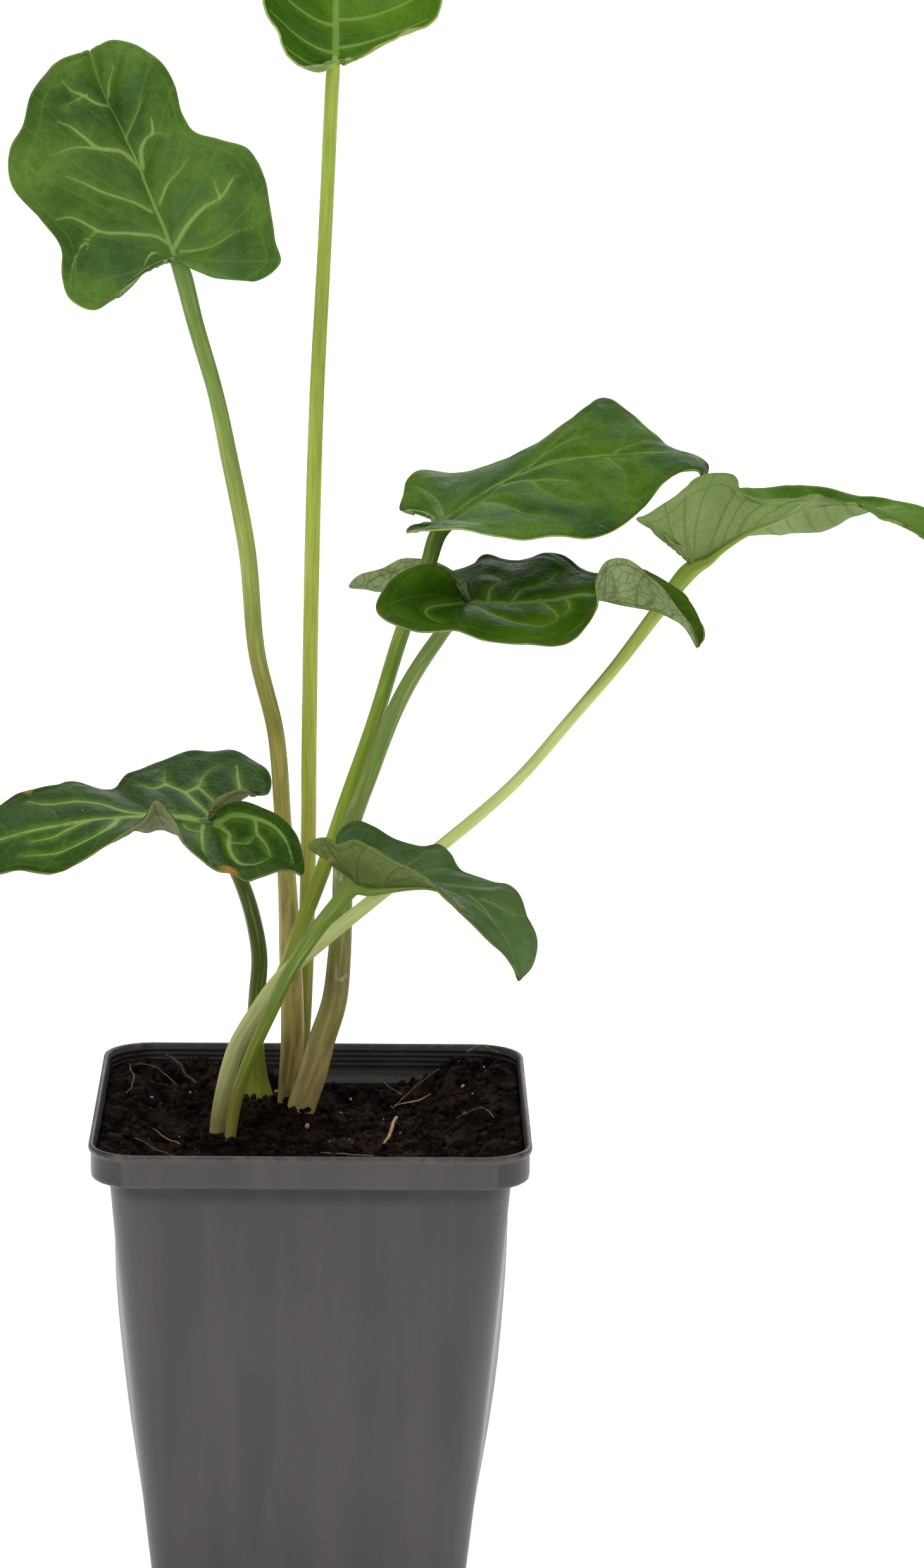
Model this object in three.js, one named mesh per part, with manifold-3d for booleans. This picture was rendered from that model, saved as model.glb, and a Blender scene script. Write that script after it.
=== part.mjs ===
// Italian arum (Arum italicum) in a square nursery pot.
// Units are millimetres, +Z is up, and the origin is the middle of the pot's base.
// +X is to the right of the pot and -Y is its front.

import * as THREE from 'three';
import { mergeVertices } from 'three/addons/utils/BufferGeometryUtils.js';
import Module from 'manifold-3d';

const wasm = await Module();
wasm.setup();

// ---- driving dimensions ----

const POT_HEIGHT = 100;
const RIM_HALF = 45; // half the width over the rim's bead
const SKIRT_HALF = 44.5;
const SKIRT_HEIGHT = 7; // the band below the rim
const SKIRT_STEP = 3.5; // how far the wall stands in below the skirt
const BASE_HALF = 32;
const RIM_CORNER = 9; // corner radius at the rim
const BASE_CORNER = 7;
const WALL = 1.2;
const FLOOR = 2;
const WALL_BULGE = 1.6; // the soft wall swells between its corners
const DRAIN_RADIUS = 4;
const DRAIN_OFFSET = 19;

const SOIL_LEVEL = 91.5;
const SOIL_GAP = 0.35; // clearance from the soil to the pot and the stalks
const STALK_DEPTH = 7; // how deep each stalk is set in the soil
const DEBRIS_LIFT = 1.1; // clearance under the loose debris, over the soil's facets

const BLADE_THICKNESS = 0.8;
const BLADE_GAP = 0.35; // clearance from a blade to its stalk
const LOBE_ROWS = 9;
const BLADE_ROWS = 13;
const HALF_COLUMNS = 4;
const STALK_SIDES = 8;
const STALK_STEPS_PER_MM = 0.11;

// ---- finishes ----

const FINISH = {
  pot: { color: 0x4f4d4d, roughness: 0.5, metalness: 0 },
  soil: { color: 0x1d1612, roughness: 0.95, metalness: 0 },
  leaf: { color: 0x2f6a1c, roughness: 0.4, metalness: 0 },
  darkLeaf: { color: 0x21511f, roughness: 0.4, metalness: 0 },
  stalk: { color: 0x8f9a3c, roughness: 0.45, metalness: 0 },
  creamStalk: { color: 0xb8ba66, roughness: 0.45, metalness: 0 },
  straw: { color: 0xb98a4e, roughness: 0.8, metalness: 0 },
  twig: { color: 0x35261c, roughness: 0.9, metalness: 0 },
  perlite: { color: 0xe8e6e0, roughness: 0.9, metalness: 0 },
  pebble: { color: 0xa58c6c, roughness: 0.85, metalness: 0 },
};

// ---- leaves ----
// stalk: [x, y, z, radius] from the soil up to the blade.
// midrib: [x, y, z] from the stalk's end to the leaf's tip.
// left and right: the margin [x, y, z, swell] from the cleft by the stalk, round the basal
// lobe and on towards the tip, as seen from the upper side with the tip ahead.
// swell lifts the middle of a rib off the straight line, along face, the upper side's lean.
// leftLobe and rightLobe are the last margin points whose ribs start at the stalk's end.

const LEAVES = [
  {
    name: 'upper_left',
    finish: 'leaf',
    stalkFinish: 'stalk',
    face: [0, -0.9, 0.4],
    stalk: [
      [-5, 14, 94, 3.1], [-4, 14, 109.5, 2.6], [-4.5, 13.5, 127, 2.4], [-5.5, 13, 142, 1.95],
      [-6.5, 12, 156.5, 1.8], [-8, 11, 175, 1.8], [-12, 10, 192.5, 1.8], [-14, 9, 214, 1.8],
      [-18, 8, 235, 1.75], [-20.5, 7, 247, 1.6], [-24.5, 6, 261, 1.7], [-27.5, 5, 272.5, 1.9],
    ],
    midrib: [
      [-28.5, 4, 274.5], [-31, 7, 280.5], [-33.5, 9, 286], [-36, 11, 292], [-40, 14, 300],
      [-43.5, 17, 306.5], [-46.5, 20, 315],
    ],
    left: [
      [-30.5, 3, 275.5, 0], [-33, 1, 276.5, 0], [-36, -3, 272.5, 1], [-40, -7, 268.5, 1],
      [-44, -10, 266, 1], [-49, -9, 267.5, 1], [-51, -5, 271.5, 1], [-51.5, -2, 277.5, 1],
      [-56, 1, 283, 1], [-61.5, 2, 289.5, 1], [-62, 3, 296, 1], [-59.5, 6, 301, 1],
      [-58, 10, 307, 1], [-53.5, 15, 312.5, 1], [-49.5, 18, 314.5, 0],
    ],
    leftLobe: 8,
    right: [
      [-27, 3, 274.5, 0], [-21.5, 0, 273, 0], [-16, -3, 271.5, 1], [-12, -6, 271.5, 1],
      [-9, -7, 273, 1], [-7, -7, 275.5, 1], [-8, -4, 279, 1], [-9, -1, 284, 1],
      [-10.5, 2, 291.5, 1], [-14, 5, 297, 1], [-19.5, 7, 298.5, 1], [-25, 9, 300, 1],
      [-27.5, 11, 303.5, 1], [-29, 13, 309, 1], [-32, 15, 313.5, 1], [-37, 17, 316.5, 1],
      [-42, 18, 317.5, 0],
    ],
    rightLobe: 7,
  },
  {
    name: 'top',
    finish: 'leaf',
    stalkFinish: 'stalk',
    face: [0, -0.8, 0.6],
    stalk: [
      [-3.5, 20.5, 91.5, 1.8], [-2, 20.5, 115.5, 1.6], [-1.5, 21, 144, 1.45],
      [-1.5, 23, 174.5, 1.45], [-1, 25, 210, 1.45], [0, 28, 243, 1.45],
      [1.5, 31, 275.5, 1.45], [3, 34.5, 310.5, 1.5],
    ],
    midrib: [
      [3.5, 34, 312], [3.5, 38, 319.5], [3.5, 44, 328], [4.5, 50, 338], [5, 57, 349.5],
      [6, 64, 361],
    ],
    left: [
      [2, 33, 312, 0], [-0.5, 29, 312, -1], [-3, 25, 312, -2], [-6, 22, 315, -3],
      [-8, 22, 319, -3], [-10.5, 24, 323, -3], [-12, 28, 329, -3], [-11.5, 34, 336, -3],
      [-9.5, 42, 344, -2], [-6, 50, 351.5, -2], [0, 58, 357.5, -1],
    ],
    leftLobe: 4,
    right: [
      [5, 33, 311.5, 0], [7.5, 31, 313, 0], [10, 30, 314.5, 0], [13.5, 29, 316.5, -1],
      [17.5, 29, 319, -1], [22, 30, 320, -2], [24.5, 31, 323, -2], [26, 35, 329, -2],
      [25.5, 41, 337, -2], [22, 48, 345.5, -2], [16.5, 55, 353, -1], [11, 60, 358, -1],
    ],
    rightLobe: 4,
  },
  {
    name: 'upper_right',
    finish: 'leaf',
    stalkFinish: 'stalk',
    face: [0, -0.5, 0.85],
    stalk: [
      [-19.5, 6, 89, 2.0], [-19, 6, 96.5, 1.9], [-16, 5.5, 107, 1.8], [-11, 5, 117, 1.7],
      [-7, 5, 123, 1.7], [-2.5, 5, 135.5, 1.6], [2, 6, 147.5, 1.5], [6.5, 6, 161, 1.5],
      [12.5, 3, 179.5, 1.5], [18, 0, 199, 1.45], [23, -2, 213, 1.4], [25.5, -1, 220, 1.5],
    ],
    midrib: [
      [26, 0, 221.5], [32, 2, 226], [38, 3, 229.5], [43, 4, 231.5], [48, 5, 233],
      [54.5, 5, 234.5], [63, 3, 235.5], [71, 0, 236.5], [77, -3, 236], [79.5, -4, 233.5],
      [78.5, -4, 230],
    ],
    left: [
      [25, 2, 222, 0], [23, 7, 222.5, 0], [20, 14, 222, 0], [17.5, 18, 221, 0],
      [18, 24, 223.5, 0], [19, 28, 226, 0], [21.5, 31, 227.5, 0], [28.5, 30, 227, 1],
      [35, 28, 228.5, 1], [43.5, 26, 232.5, 1], [52.5, 25, 238.5, 1], [58, 24, 243.5, 1],
      [61, 22, 244, 1], [65.5, 17, 241, 1], [69.5, 11, 238.5, 1], [73.5, 5, 236, 0],
      [77.5, 1, 235.5, 0], [80, -1, 234, 0],
    ],
    leftLobe: 7,
    right: [
      [25.5, -2, 221.5, 0], [22, -6, 222.5, 0], [19, -11, 222.5, 0], [18.5, -14, 222, 0],
      [21, -18, 223, 0], [26, -22, 224, 1], [31.5, -24, 224, 1], [37, -25, 223, 1],
      [42, -25, 222.5, 1], [49, -24, 223, 1], [56, -22, 222.5, 1], [62, -18, 224.5, 1],
      [66.5, -14, 227.5, 1], [70, -11, 231.5, 0], [74, -9, 234, 0], [77.5, -8, 234, 0],
    ],
    rightLobe: 6,
  },
  {
    name: 'far_right',
    finish: 'leaf',
    stalkFinish: 'creamStalk',
    face: [0, -0.3, 0.95],
    stalk: [
      [-20, 0, 91, 2.2], [-19, -0.5, 98.5, 2.0], [-16, -1, 110.5, 1.8], [-11.5, -2, 119, 1.8],
      [-6, -3, 127, 1.7], [3, -4, 135.5, 1.6], [16.5, -5, 147, 1.6], [26.5, -6, 155.5, 1.6],
      [41, -8, 169, 1.55], [52, -10, 182.5, 1.5], [61.5, -11.5, 194.5, 1.5],
      [69.5, -13.5, 206, 1.6], [76, -15.5, 215, 1.8],
    ],
    midrib: [
      [76.5, -15, 216], [81, -16, 219.5], [86.5, -17, 223], [92.5, -17, 225.5],
      [99, -15, 228], [105, -12, 228.5], [113.5, -8, 227], [121, -6, 224.5], [129, -5, 220.5],
      [138.5, -4, 213.5],
    ],
    left: [
      [76.5, -13, 216.5, 0], [75, -8, 218.5, 0], [72.5, -3, 220, 0], [71, 2, 221.5, 0],
      [73, 6, 223.5, 0], [77.5, 9, 226, 0], [83.5, 10, 227, -1], [90, 9, 228, -3],
      [95.5, 7, 228.5, -5], [100, 6, 229, -6], [104, 4, 229, -8], [109, 2, 228, -7],
      [113, 0, 227.5, -3], [120.5, -2, 227, 0], [128, -3, 224, 0], [134.5, -4, 219.5, 0],
    ],
    leftLobe: 5,
    right: [
      [75.5, -16, 217, 0], [75, -19, 219.5, 0], [71.5, -24, 222, 0], [67.5, -28, 225.5, 0],
      [64, -31, 228, 0], [67.5, -30, 229, 0], [70.5, -29, 231, -1], [73.5, -28, 234, -1],
      [76, -27, 235.5, -1], [80, -26, 236.5, -1], [83.5, -24, 235.5, -1],
      [85, -23, 232.5, -1], [88, -22, 231, -1], [94.5, -20, 230.5, -1], [99, -18, 231, 0],
      [103.5, -15, 229.5, 0], [108, -13, 228.5, 0], [113.5, -11, 226, 0], [119.5, -9, 223, 0],
      [127.5, -7, 218.5, 0], [133.5, -6, 215.5, 0],
    ],
    rightLobe: 8,
  },
  {
    name: 'middle_right',
    finish: 'darkLeaf',
    stalkFinish: 'stalk',
    face: [0, -0.5, 0.85],
    stalk: [
      [-2.5, 7, 95, 3.0], [0, 6.5, 103, 2.9], [2, 6, 111, 2.75], [4.5, 5, 119.5, 2.6],
      [5.5, 4, 129.5, 2.4], [6, 3, 140.5, 2.1], [6.5, 2, 151.5, 1.8], [9, 1, 159.5, 1.6],
      [12.5, 0, 168.5, 1.5], [18.5, -2, 184.5, 1.4], [25, -5, 197, 1.3],
      [30.5, -7, 205, 1.4],
    ],
    midrib: [
      [31.5, -6, 206], [37.5, -9, 206.5], [44, -11, 207], [49.5, -14, 208.5],
      [54.5, -17, 210], [60, -20, 209.5], [63.5, -22, 209], [68, -24, 208.5],
      [71.5, -26, 207.5], [74.5, -27, 205.5], [77, -28, 201.5],
    ],
    left: [
      [31.5, -4, 206.5, 0], [31, 0, 209, 0], [28, 4, 211, 0], [23.5, 7, 212.5, 0],
      [18, 10, 212.5, 0], [14, 12, 210, 0], [9.5, 13, 208.5, 0], [7, 14, 206, 0],
      [10.5, 16, 205, 0], [15.5, 17, 204.5, 0], [21, 18, 205.5, 0], [27, 18, 208, 1],
      [32, 17, 209.5, 1], [35, 16, 212, 1], [39.5, 14, 211.5, 1], [44, 12, 212, 1],
      [48, 9, 214, 1], [52, 4, 213.5, 0], [55, -3, 212.5, 0], [58, -9, 213, 0],
      [62.5, -14, 215, 0], [67, -18, 215, 0], [71, -21, 213.5, 0], [74.5, -23, 211, 0],
      [77, -25, 207.5, 0], [78, -27, 203.5, 0],
    ],
    leftLobe: 13,
    right: [
      [31, -7, 206.5, 0], [30, -9, 209.5, 0], [28, -12, 213, 0], [25.5, -14, 215, 1],
      [22, -17, 216, 1], [18.5, -20, 215.5, 1], [14.5, -23, 213, 1], [12.5, -25, 208.5, 1],
      [15, -27, 206, 1], [20, -28, 204.5, 1], [25, -28, 204, 1], [29, -28, 204.5, 1],
      [34.5, -28, 202.5, 1], [42.5, -28, 202, 1], [48.5, -28, 201.5, 1], [52.5, -27, 203, 1],
      [55, -26, 206, 0], [56.5, -25, 210, 0], [56.5, -25, 214.5, 0], [58.5, -26, 218.5, 0],
      [62.5, -27, 219, 0], [66.5, -29, 216.5, 0], [70.5, -31, 212.5, 0], [74.5, -32, 207, 0],
      [76.5, -30, 203, 0],
    ],
    rightLobe: 10,
  },
  {
    name: 'lower_right',
    finish: 'leaf',
    stalkFinish: 'stalk',
    face: [0, -0.6, 0.8],
    stalk: [
      [-17, -5.5, 92.5, 1.5], [-15.5, -6.5, 102, 1.3], [-12.5, -8, 111.5, 1.3],
      [-8, -9.5, 122, 1.35], [-4.5, -10.5, 130, 1.4], [1, -12, 139, 1.55],
      [4.5, -14, 144, 1.7], [8.5, -16.5, 149, 1.8],
    ],
    midrib: [
      [9.5, -17, 150], [14, -21, 150.5], [19, -24, 151.5], [24, -27, 152], [28.5, -30, 151],
      [33, -32, 149], [37, -34, 145.5], [40, -35, 141], [42, -36, 134.5],
    ],
    left: [
      [9, -15, 150, 0], [7, -12, 152, 0], [6, -10, 154, 0], [5, -9, 156, 0], [5, -8, 158, 0],
      [6.5, -8, 160, 0], [9, -8, 161, 0], [12.5, -9, 160, 0], [17, -10, 157.5, 0],
      [21.5, -11, 156.5, 0], [25.5, -13, 157.5, 0], [28, -15, 156, 0], [30.5, -18, 153, 0],
      [36, -21, 151.5, 0], [39.5, -23, 151.5, 0], [42, -25, 149.5, 0], [43.5, -28, 146, 0],
      [45.5, -31, 141, 0], [44.5, -34, 137, 0],
    ],
    leftLobe: 6,
    right: [
      [9, -18, 150.5, 0], [6.5, -21, 154, 0], [5, -24, 156, 0], [1.5, -29, 158.5, 0],
      [-1, -32, 161, 0], [0.5, -32, 162.5, 0], [3, -31, 162.5, 0], [5, -31, 161, 0],
      [8.5, -32, 162.5, 0], [12, -34, 161.5, 0], [16, -36, 159.5, 0], [21.5, -38, 157, 0],
      [24.5, -39, 154.5, 0], [28, -40, 151.5, 0], [32, -41, 148, 0], [36.5, -41, 143, 0],
      [40, -39, 139, 0],
    ],
    rightLobe: 8,
  },
  {
    name: 'lower_left',
    finish: 'darkLeaf',
    stalkFinish: 'stalk',
    face: [0, -0.4, 0.9],
    stalk: [
      [-11.5, 25, 92, 2.7], [-12.5, 25, 97.5, 2.1], [-12.5, 24.5, 106.5, 1.8],
      [-12, 24, 115.5, 1.75], [-11.5, 23, 124.5, 1.7], [-13, 21, 134, 1.65],
      [-15.5, 18, 142.5, 1.6], [-19, 14.5, 150.5, 1.6], [-21.5, 12.5, 155.5, 1.7],
    ],
    midrib: [
      [-22, 12, 156], [-27, 10, 157.5], [-32.5, 8, 158.5], [-36.5, 6, 158.5],
      [-44, 3, 158.5], [-51.5, 0, 158], [-59, -3, 157], [-67, -6, 155], [-77, -9, 150],
    ],
    left: [
      [-21, 11, 157, 0], [-19, 10, 160, 1], [-15.5, 8, 161.5, 1], [-11, 5, 161, 1],
      [-6.5, 1, 159.5, 1], [-3.5, -3, 157, 1], [-2, -7, 153.5, 1], [-2, -10, 150, 0],
      [-4, -12, 151, 0], [-7, -13, 151.5, 0], [-10.5, -15, 150.5, 0], [-13.5, -15, 149.5, 0],
      [-16.5, -14, 151.5, 0], [-19.5, -14, 152, 0], [-23, -13, 154.5, -1],
      [-27, -12, 158, -3], [-29, -14, 163, -5], [-32, -16, 166.5, -6], [-34, -16, 163.5, -5],
      [-37, -15, 160.5, -2], [-41.5, -14, 157, 0], [-47, -14, 153.5, 0],
      [-52.5, -14, 151, 0], [-60.5, -15, 151.5, 0], [-68.5, -14, 149.5, 0],
      [-73, -12, 149.5, 0],
    ],
    leftLobe: 14,
    right: [
      [-21, 14, 157, 0], [-19.5, 19, 158, 3], [-16.5, 25, 158, 4], [-13, 30, 158, 4],
      [-10, 33, 157.5, 2], [-9.5, 36, 159, 1], [-10.5, 38, 161.5, 0], [-13.5, 41, 163.5, 0],
      [-17.5, 42, 165, 0], [-23.5, 41, 165, 0], [-29, 38, 165, 0], [-35, 33, 163.5, 0],
      [-39.5, 29, 162.5, 0], [-42, 25, 160, 0], [-46, 22, 161, 0], [-51.5, 20, 163, 0],
      [-54, 17, 162.5, 0], [-60, 12, 162.5, 0], [-65, 7, 160.5, 0], [-71, 0, 156.5, 0],
    ],
    rightLobe: 9,
  },
];

// ---- debris lying on the soil: [x, y] along its run, radius ----

const STRAWS = [
  { name: 'straw', finish: 'straw', run: [[17.5, 10], [16.5, 0], [15, -10]], radius: 0.5 },
  { name: 'bent_straw', finish: 'straw', run: [[18, 22], [21, 27], [25, 26]], radius: 0.45 },
  { name: 'dark_twig', finish: 'twig', run: [[-31, 38], [-28, 34], [-25, 29]], radius: 0.7 },
  { name: 'pale_root', finish: 'straw', run: [[-32, -9], [-30, -13], [-26, -16]], radius: 0.4 },
];

const GRAINS = [
  { name: 'perlite_grain_1', finish: 'perlite', at: [32, 30], radius: 1.1 },
  { name: 'perlite_grain_2', finish: 'perlite', at: [8, 30], radius: 0.9 },
  { name: 'perlite_grain_3', finish: 'perlite', at: [-34, 16], radius: 0.8 },
  { name: 'pebble_1', finish: 'pebble', at: [-8, 32.5], radius: 1.2 },
  { name: 'pebble_2', finish: 'pebble', at: [-1, 0.5], radius: 1.3 },
];

// ---- meshes and solids ----

function geometryOf(points, triangles) {
  const geometry = new THREE.BufferGeometry();
  geometry.setAttribute('position', new THREE.Float32BufferAttribute(points.flat(), 3));
  geometry.setIndex(triangles.flat());
  return geometry;
}

function toSolid(geometry) {
  const bare = geometry.clone();
  bare.deleteAttribute('normal');
  bare.deleteAttribute('uv');
  const merged = mergeVertices(bare, 1e-4);
  return new wasm.Manifold(new wasm.Mesh({
    numProp: 3,
    vertProperties: new Float32Array(merged.attributes.position.array),
    triVerts: new Uint32Array(merged.index.array),
  }));
}

function toGeometry(solid) {
  const mesh = solid.getMesh();
  const geometry = new THREE.BufferGeometry();
  const positions = new Float32Array(mesh.vertProperties);
  geometry.setAttribute('position', new THREE.BufferAttribute(positions, 3));
  geometry.setIndex(new THREE.BufferAttribute(new Uint32Array(mesh.triVerts), 1));
  return geometry;
}

function largestPiece(solid) {
  const pieces = solid.decompose();
  return pieces.reduce((best, piece) => (piece.volume() > best.volume() ? piece : best));
}

function namedMesh(name, geometry, finish) {
  const mesh = new THREE.Mesh(geometry, new THREE.MeshStandardMaterial(FINISH[finish]));
  mesh.name = name;
  return mesh;
}

// ---- the square pot and its soil ----

// One round of points on a square with rounded corners, swollen at the middle of each side.
function roundedSquare(half, corner, swell, level) {
  const arcSteps = 3;
  const sideSteps = 4;
  const ring = [];
  for (let quarter = 0; quarter < 4; quarter += 1) {
    const turn = (quarter * Math.PI) / 2;
    const place = (x, y) => {
      const px = x * Math.cos(turn) - y * Math.sin(turn);
      const py = x * Math.sin(turn) + y * Math.cos(turn);
      ring.push([px, py, level(px, py)]);
    };
    const straight = half - corner;
    for (let i = 0; i < sideSteps; i += 1) {
      const y = -straight + (2 * straight * i) / sideSteps;
      place(half + swell * Math.cos((y / half) * (Math.PI / 2)) ** 2, y);
    }
    for (let i = 0; i < arcSteps; i += 1) {
      const angle = (i / arcSteps) * (Math.PI / 2);
      place(straight + corner * Math.cos(angle), straight + corner * Math.sin(angle));
    }
  }
  return ring;
}

// Joins rings of equal count from a pole below to a pole above into one closed skin.
function skinRings(rings, startPole, endPole) {
  const count = rings[0].length;
  const points = [startPole, ...rings.flat(), endPole];
  const last = points.length - 1;
  const index = (ring, i) => 1 + ring * count + (i % count);
  const triangles = [];
  for (let i = 0; i < count; i += 1) {
    triangles.push([0, index(0, i + 1), index(0, i)]);
    triangles.push([last, index(rings.length - 1, i), index(rings.length - 1, i + 1)]);
    for (let ring = 0; ring < rings.length - 1; ring += 1) {
      triangles.push([index(ring, i), index(ring, i + 1), index(ring + 1, i + 1)]);
      triangles.push([index(ring, i), index(ring + 1, i + 1), index(ring + 1, i)]);
    }
  }
  return geometryOf(points, triangles);
}

// The wall's half width below the skirt, tapering from the step down to the base.
function wallHalf(z) {
  const top = SKIRT_HALF - SKIRT_STEP;
  return BASE_HALF + ((top - BASE_HALF) * z) / (POT_HEIGHT - SKIRT_HEIGHT);
}

function wallCorner(z) {
  return BASE_CORNER + ((RIM_CORNER - 1 - BASE_CORNER) * z) / (POT_HEIGHT - SKIRT_HEIGHT);
}

function wallSwell(z) {
  return WALL_BULGE * Math.sin((Math.PI * z) / (POT_HEIGHT - SKIRT_HEIGHT));
}

function buildPot() {
  const skirtFoot = POT_HEIGHT - SKIRT_HEIGHT;
  const ring = (half, corner, swell, z) => roundedSquare(half, corner, swell, () => z);
  const outer = [
    ring(BASE_HALF - 1, BASE_CORNER - 1, 0, 0),
    ring(wallHalf(1), wallCorner(1), 0, 1),
  ];
  for (const z of [20, 42, 64, 84]) outer.push(ring(wallHalf(z), wallCorner(z), wallSwell(z), z));
  outer.push(
    ring(wallHalf(skirtFoot), wallCorner(skirtFoot), 0, skirtFoot - 0.6),
    ring(SKIRT_HALF - 0.4, RIM_CORNER, 0, skirtFoot),
    ring(SKIRT_HALF, RIM_CORNER, 0, POT_HEIGHT - 1.4),
    ring(RIM_HALF, RIM_CORNER, 0, POT_HEIGHT - 1),
    ring(RIM_HALF, RIM_CORNER, 0, POT_HEIGHT - 0.3),
    ring(RIM_HALF - 0.4, RIM_CORNER, 0, POT_HEIGHT),
  );
  const innerHalf = SKIRT_HALF - WALL;
  const inner = [
    ring(innerHalf + 0.2, RIM_CORNER - WALL, 0, POT_HEIGHT),
    ring(innerHalf, RIM_CORNER - WALL, 0, POT_HEIGHT - 0.4),
    ring(innerHalf, RIM_CORNER - WALL, 0, skirtFoot + 0.8),
    ring(wallHalf(skirtFoot) - WALL, wallCorner(skirtFoot) - WALL, 0, skirtFoot - 0.4),
  ];
  for (const z of [84, 64, 42, 20, FLOOR]) {
    inner.push(ring(wallHalf(z) - WALL, wallCorner(z) - WALL, wallSwell(z), z));
  }
  const shell = toSolid(skinRings([...outer, ...inner], [0, 0, 0], [0, 0, FLOOR]));
  const drain = new THREE.CylinderGeometry(DRAIN_RADIUS, DRAIN_RADIUS, FLOOR * 3, 12);
  drain.rotateX(Math.PI / 2);
  let pot = shell;
  for (const [sx, sy] of [[1, 1], [1, -1], [-1, 1], [-1, -1]]) {
    const hole = drain.clone().translate(sx * DRAIN_OFFSET, sy * DRAIN_OFFSET, 0);
    pot = pot.subtract(toSolid(hole));
  }
  return toGeometry(pot);
}

function mound(x, y, cx, cy, height, spread) {
  return height * Math.exp(-((x - cx) ** 2 + (y - cy) ** 2) / (2 * spread ** 2));
}

// The surface of the soil: raised at the crown and the back right corner, hollow behind.
function soilTop(x, y) {
  return SOIL_LEVEL
    + mound(x, y, -5, 13, 3.2, 8)
    + mound(x, y, 34, 34, 6.5, 9)
    + mound(x, y, -34, -30, 2.5, 12)
    + mound(x, y, -30, 28, 3, 9)
    - mound(x, y, 12, 25, 3, 8);
}

// The pot's inner half width, less the soil's clearance.
function soilHalf(z) {
  return wallHalf(z) - WALL - SOIL_GAP;
}

function buildSoil(stalkPockets) {
  const rings = [];
  const wallLevels = [FLOOR + SOIL_GAP, 20, 42, 64, 84];
  for (const z of wallLevels) {
    rings.push(roundedSquare(soilHalf(z), wallCorner(z) - WALL, wallSwell(z) * 0.9, () => z));
  }
  const topHalf = soilHalf(POT_HEIGHT - SKIRT_HEIGHT - 3);
  const topCorner = wallCorner(POT_HEIGHT - SKIRT_HEIGHT) - WALL;
  for (const share of [1, 0.87, 0.74, 0.61, 0.48, 0.35, 0.22, 0.1]) {
    rings.push(roundedSquare(topHalf * share, topCorner * share, 0, soilTop));
  }
  const body = skinRings(rings, [0, 0, FLOOR + SOIL_GAP], [0, 0, soilTop(0, 0)]);
  let soil = toSolid(body);
  for (const pocket of stalkPockets) soil = soil.subtract(toSolid(pocket));
  return toGeometry(largestPiece(soil));
}

// ---- stalks ----

// A closed round tube that follows the path, with its radius eased between the points.
function taperedTube(path, sides, steps) {
  const curve = new THREE.CatmullRomCurve3(path.map(([x, y, z]) => new THREE.Vector3(x, y, z)));
  const frames = curve.computeFrenetFrames(steps);
  const rings = [];
  for (let i = 0; i <= steps; i += 1) {
    const u = i / steps;
    const centre = curve.getPointAt(u);
    const at = curve.getUtoTmapping(u) * (path.length - 1);
    const from = Math.min(Math.floor(at), path.length - 2);
    const radius = THREE.MathUtils.lerp(path[from][3], path[from + 1][3], at - from);
    const ring = [];
    for (let k = 0; k < sides; k += 1) {
      const angle = (k / sides) * 2 * Math.PI;
      const point = centre.clone()
        .addScaledVector(frames.normals[i], radius * Math.cos(angle))
        .addScaledVector(frames.binormals[i], radius * Math.sin(angle));
      ring.push(point.toArray());
    }
    rings.push(ring);
  }
  const start = curve.getPointAt(0).toArray();
  const end = curve.getPointAt(1).toArray();
  return skinRings(rings, start, end);
}

function stalkPath(leaf, depth, extra) {
  const [x, y, z, radius] = leaf.stalk[0];
  const foot = [x, y, z - depth, radius * 0.8];
  return [foot, ...leaf.stalk].map(([px, py, pz, r]) => [px, py, pz, r + extra]);
}

function stalkSteps(leaf) {
  const [, , low] = leaf.stalk[0];
  const [, , high] = leaf.stalk[leaf.stalk.length - 1];
  return Math.max(12, Math.round((high - low) * STALK_STEPS_PER_MM));
}

function stalkPocket(leaf) {
  const path = stalkPath(leaf, STALK_DEPTH + SOIL_GAP, SOIL_GAP + 0.15);
  return taperedTube(path, STALK_SIDES, stalkSteps(leaf));
}

// ---- blades ----

function margin(points, tip) {
  const path = [...points, [...tip, 0]];
  const curve = new THREE.CatmullRomCurve3(path.map(([x, y, z]) => new THREE.Vector3(x, y, z)));
  return (index) => {
    const from = Math.min(Math.floor(index), path.length - 2);
    return {
      point: curve.getPoint(index / (path.length - 1)),
      swell: THREE.MathUtils.lerp(path[from][3], path[from + 1][3], index - from),
    };
  };
}

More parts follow.
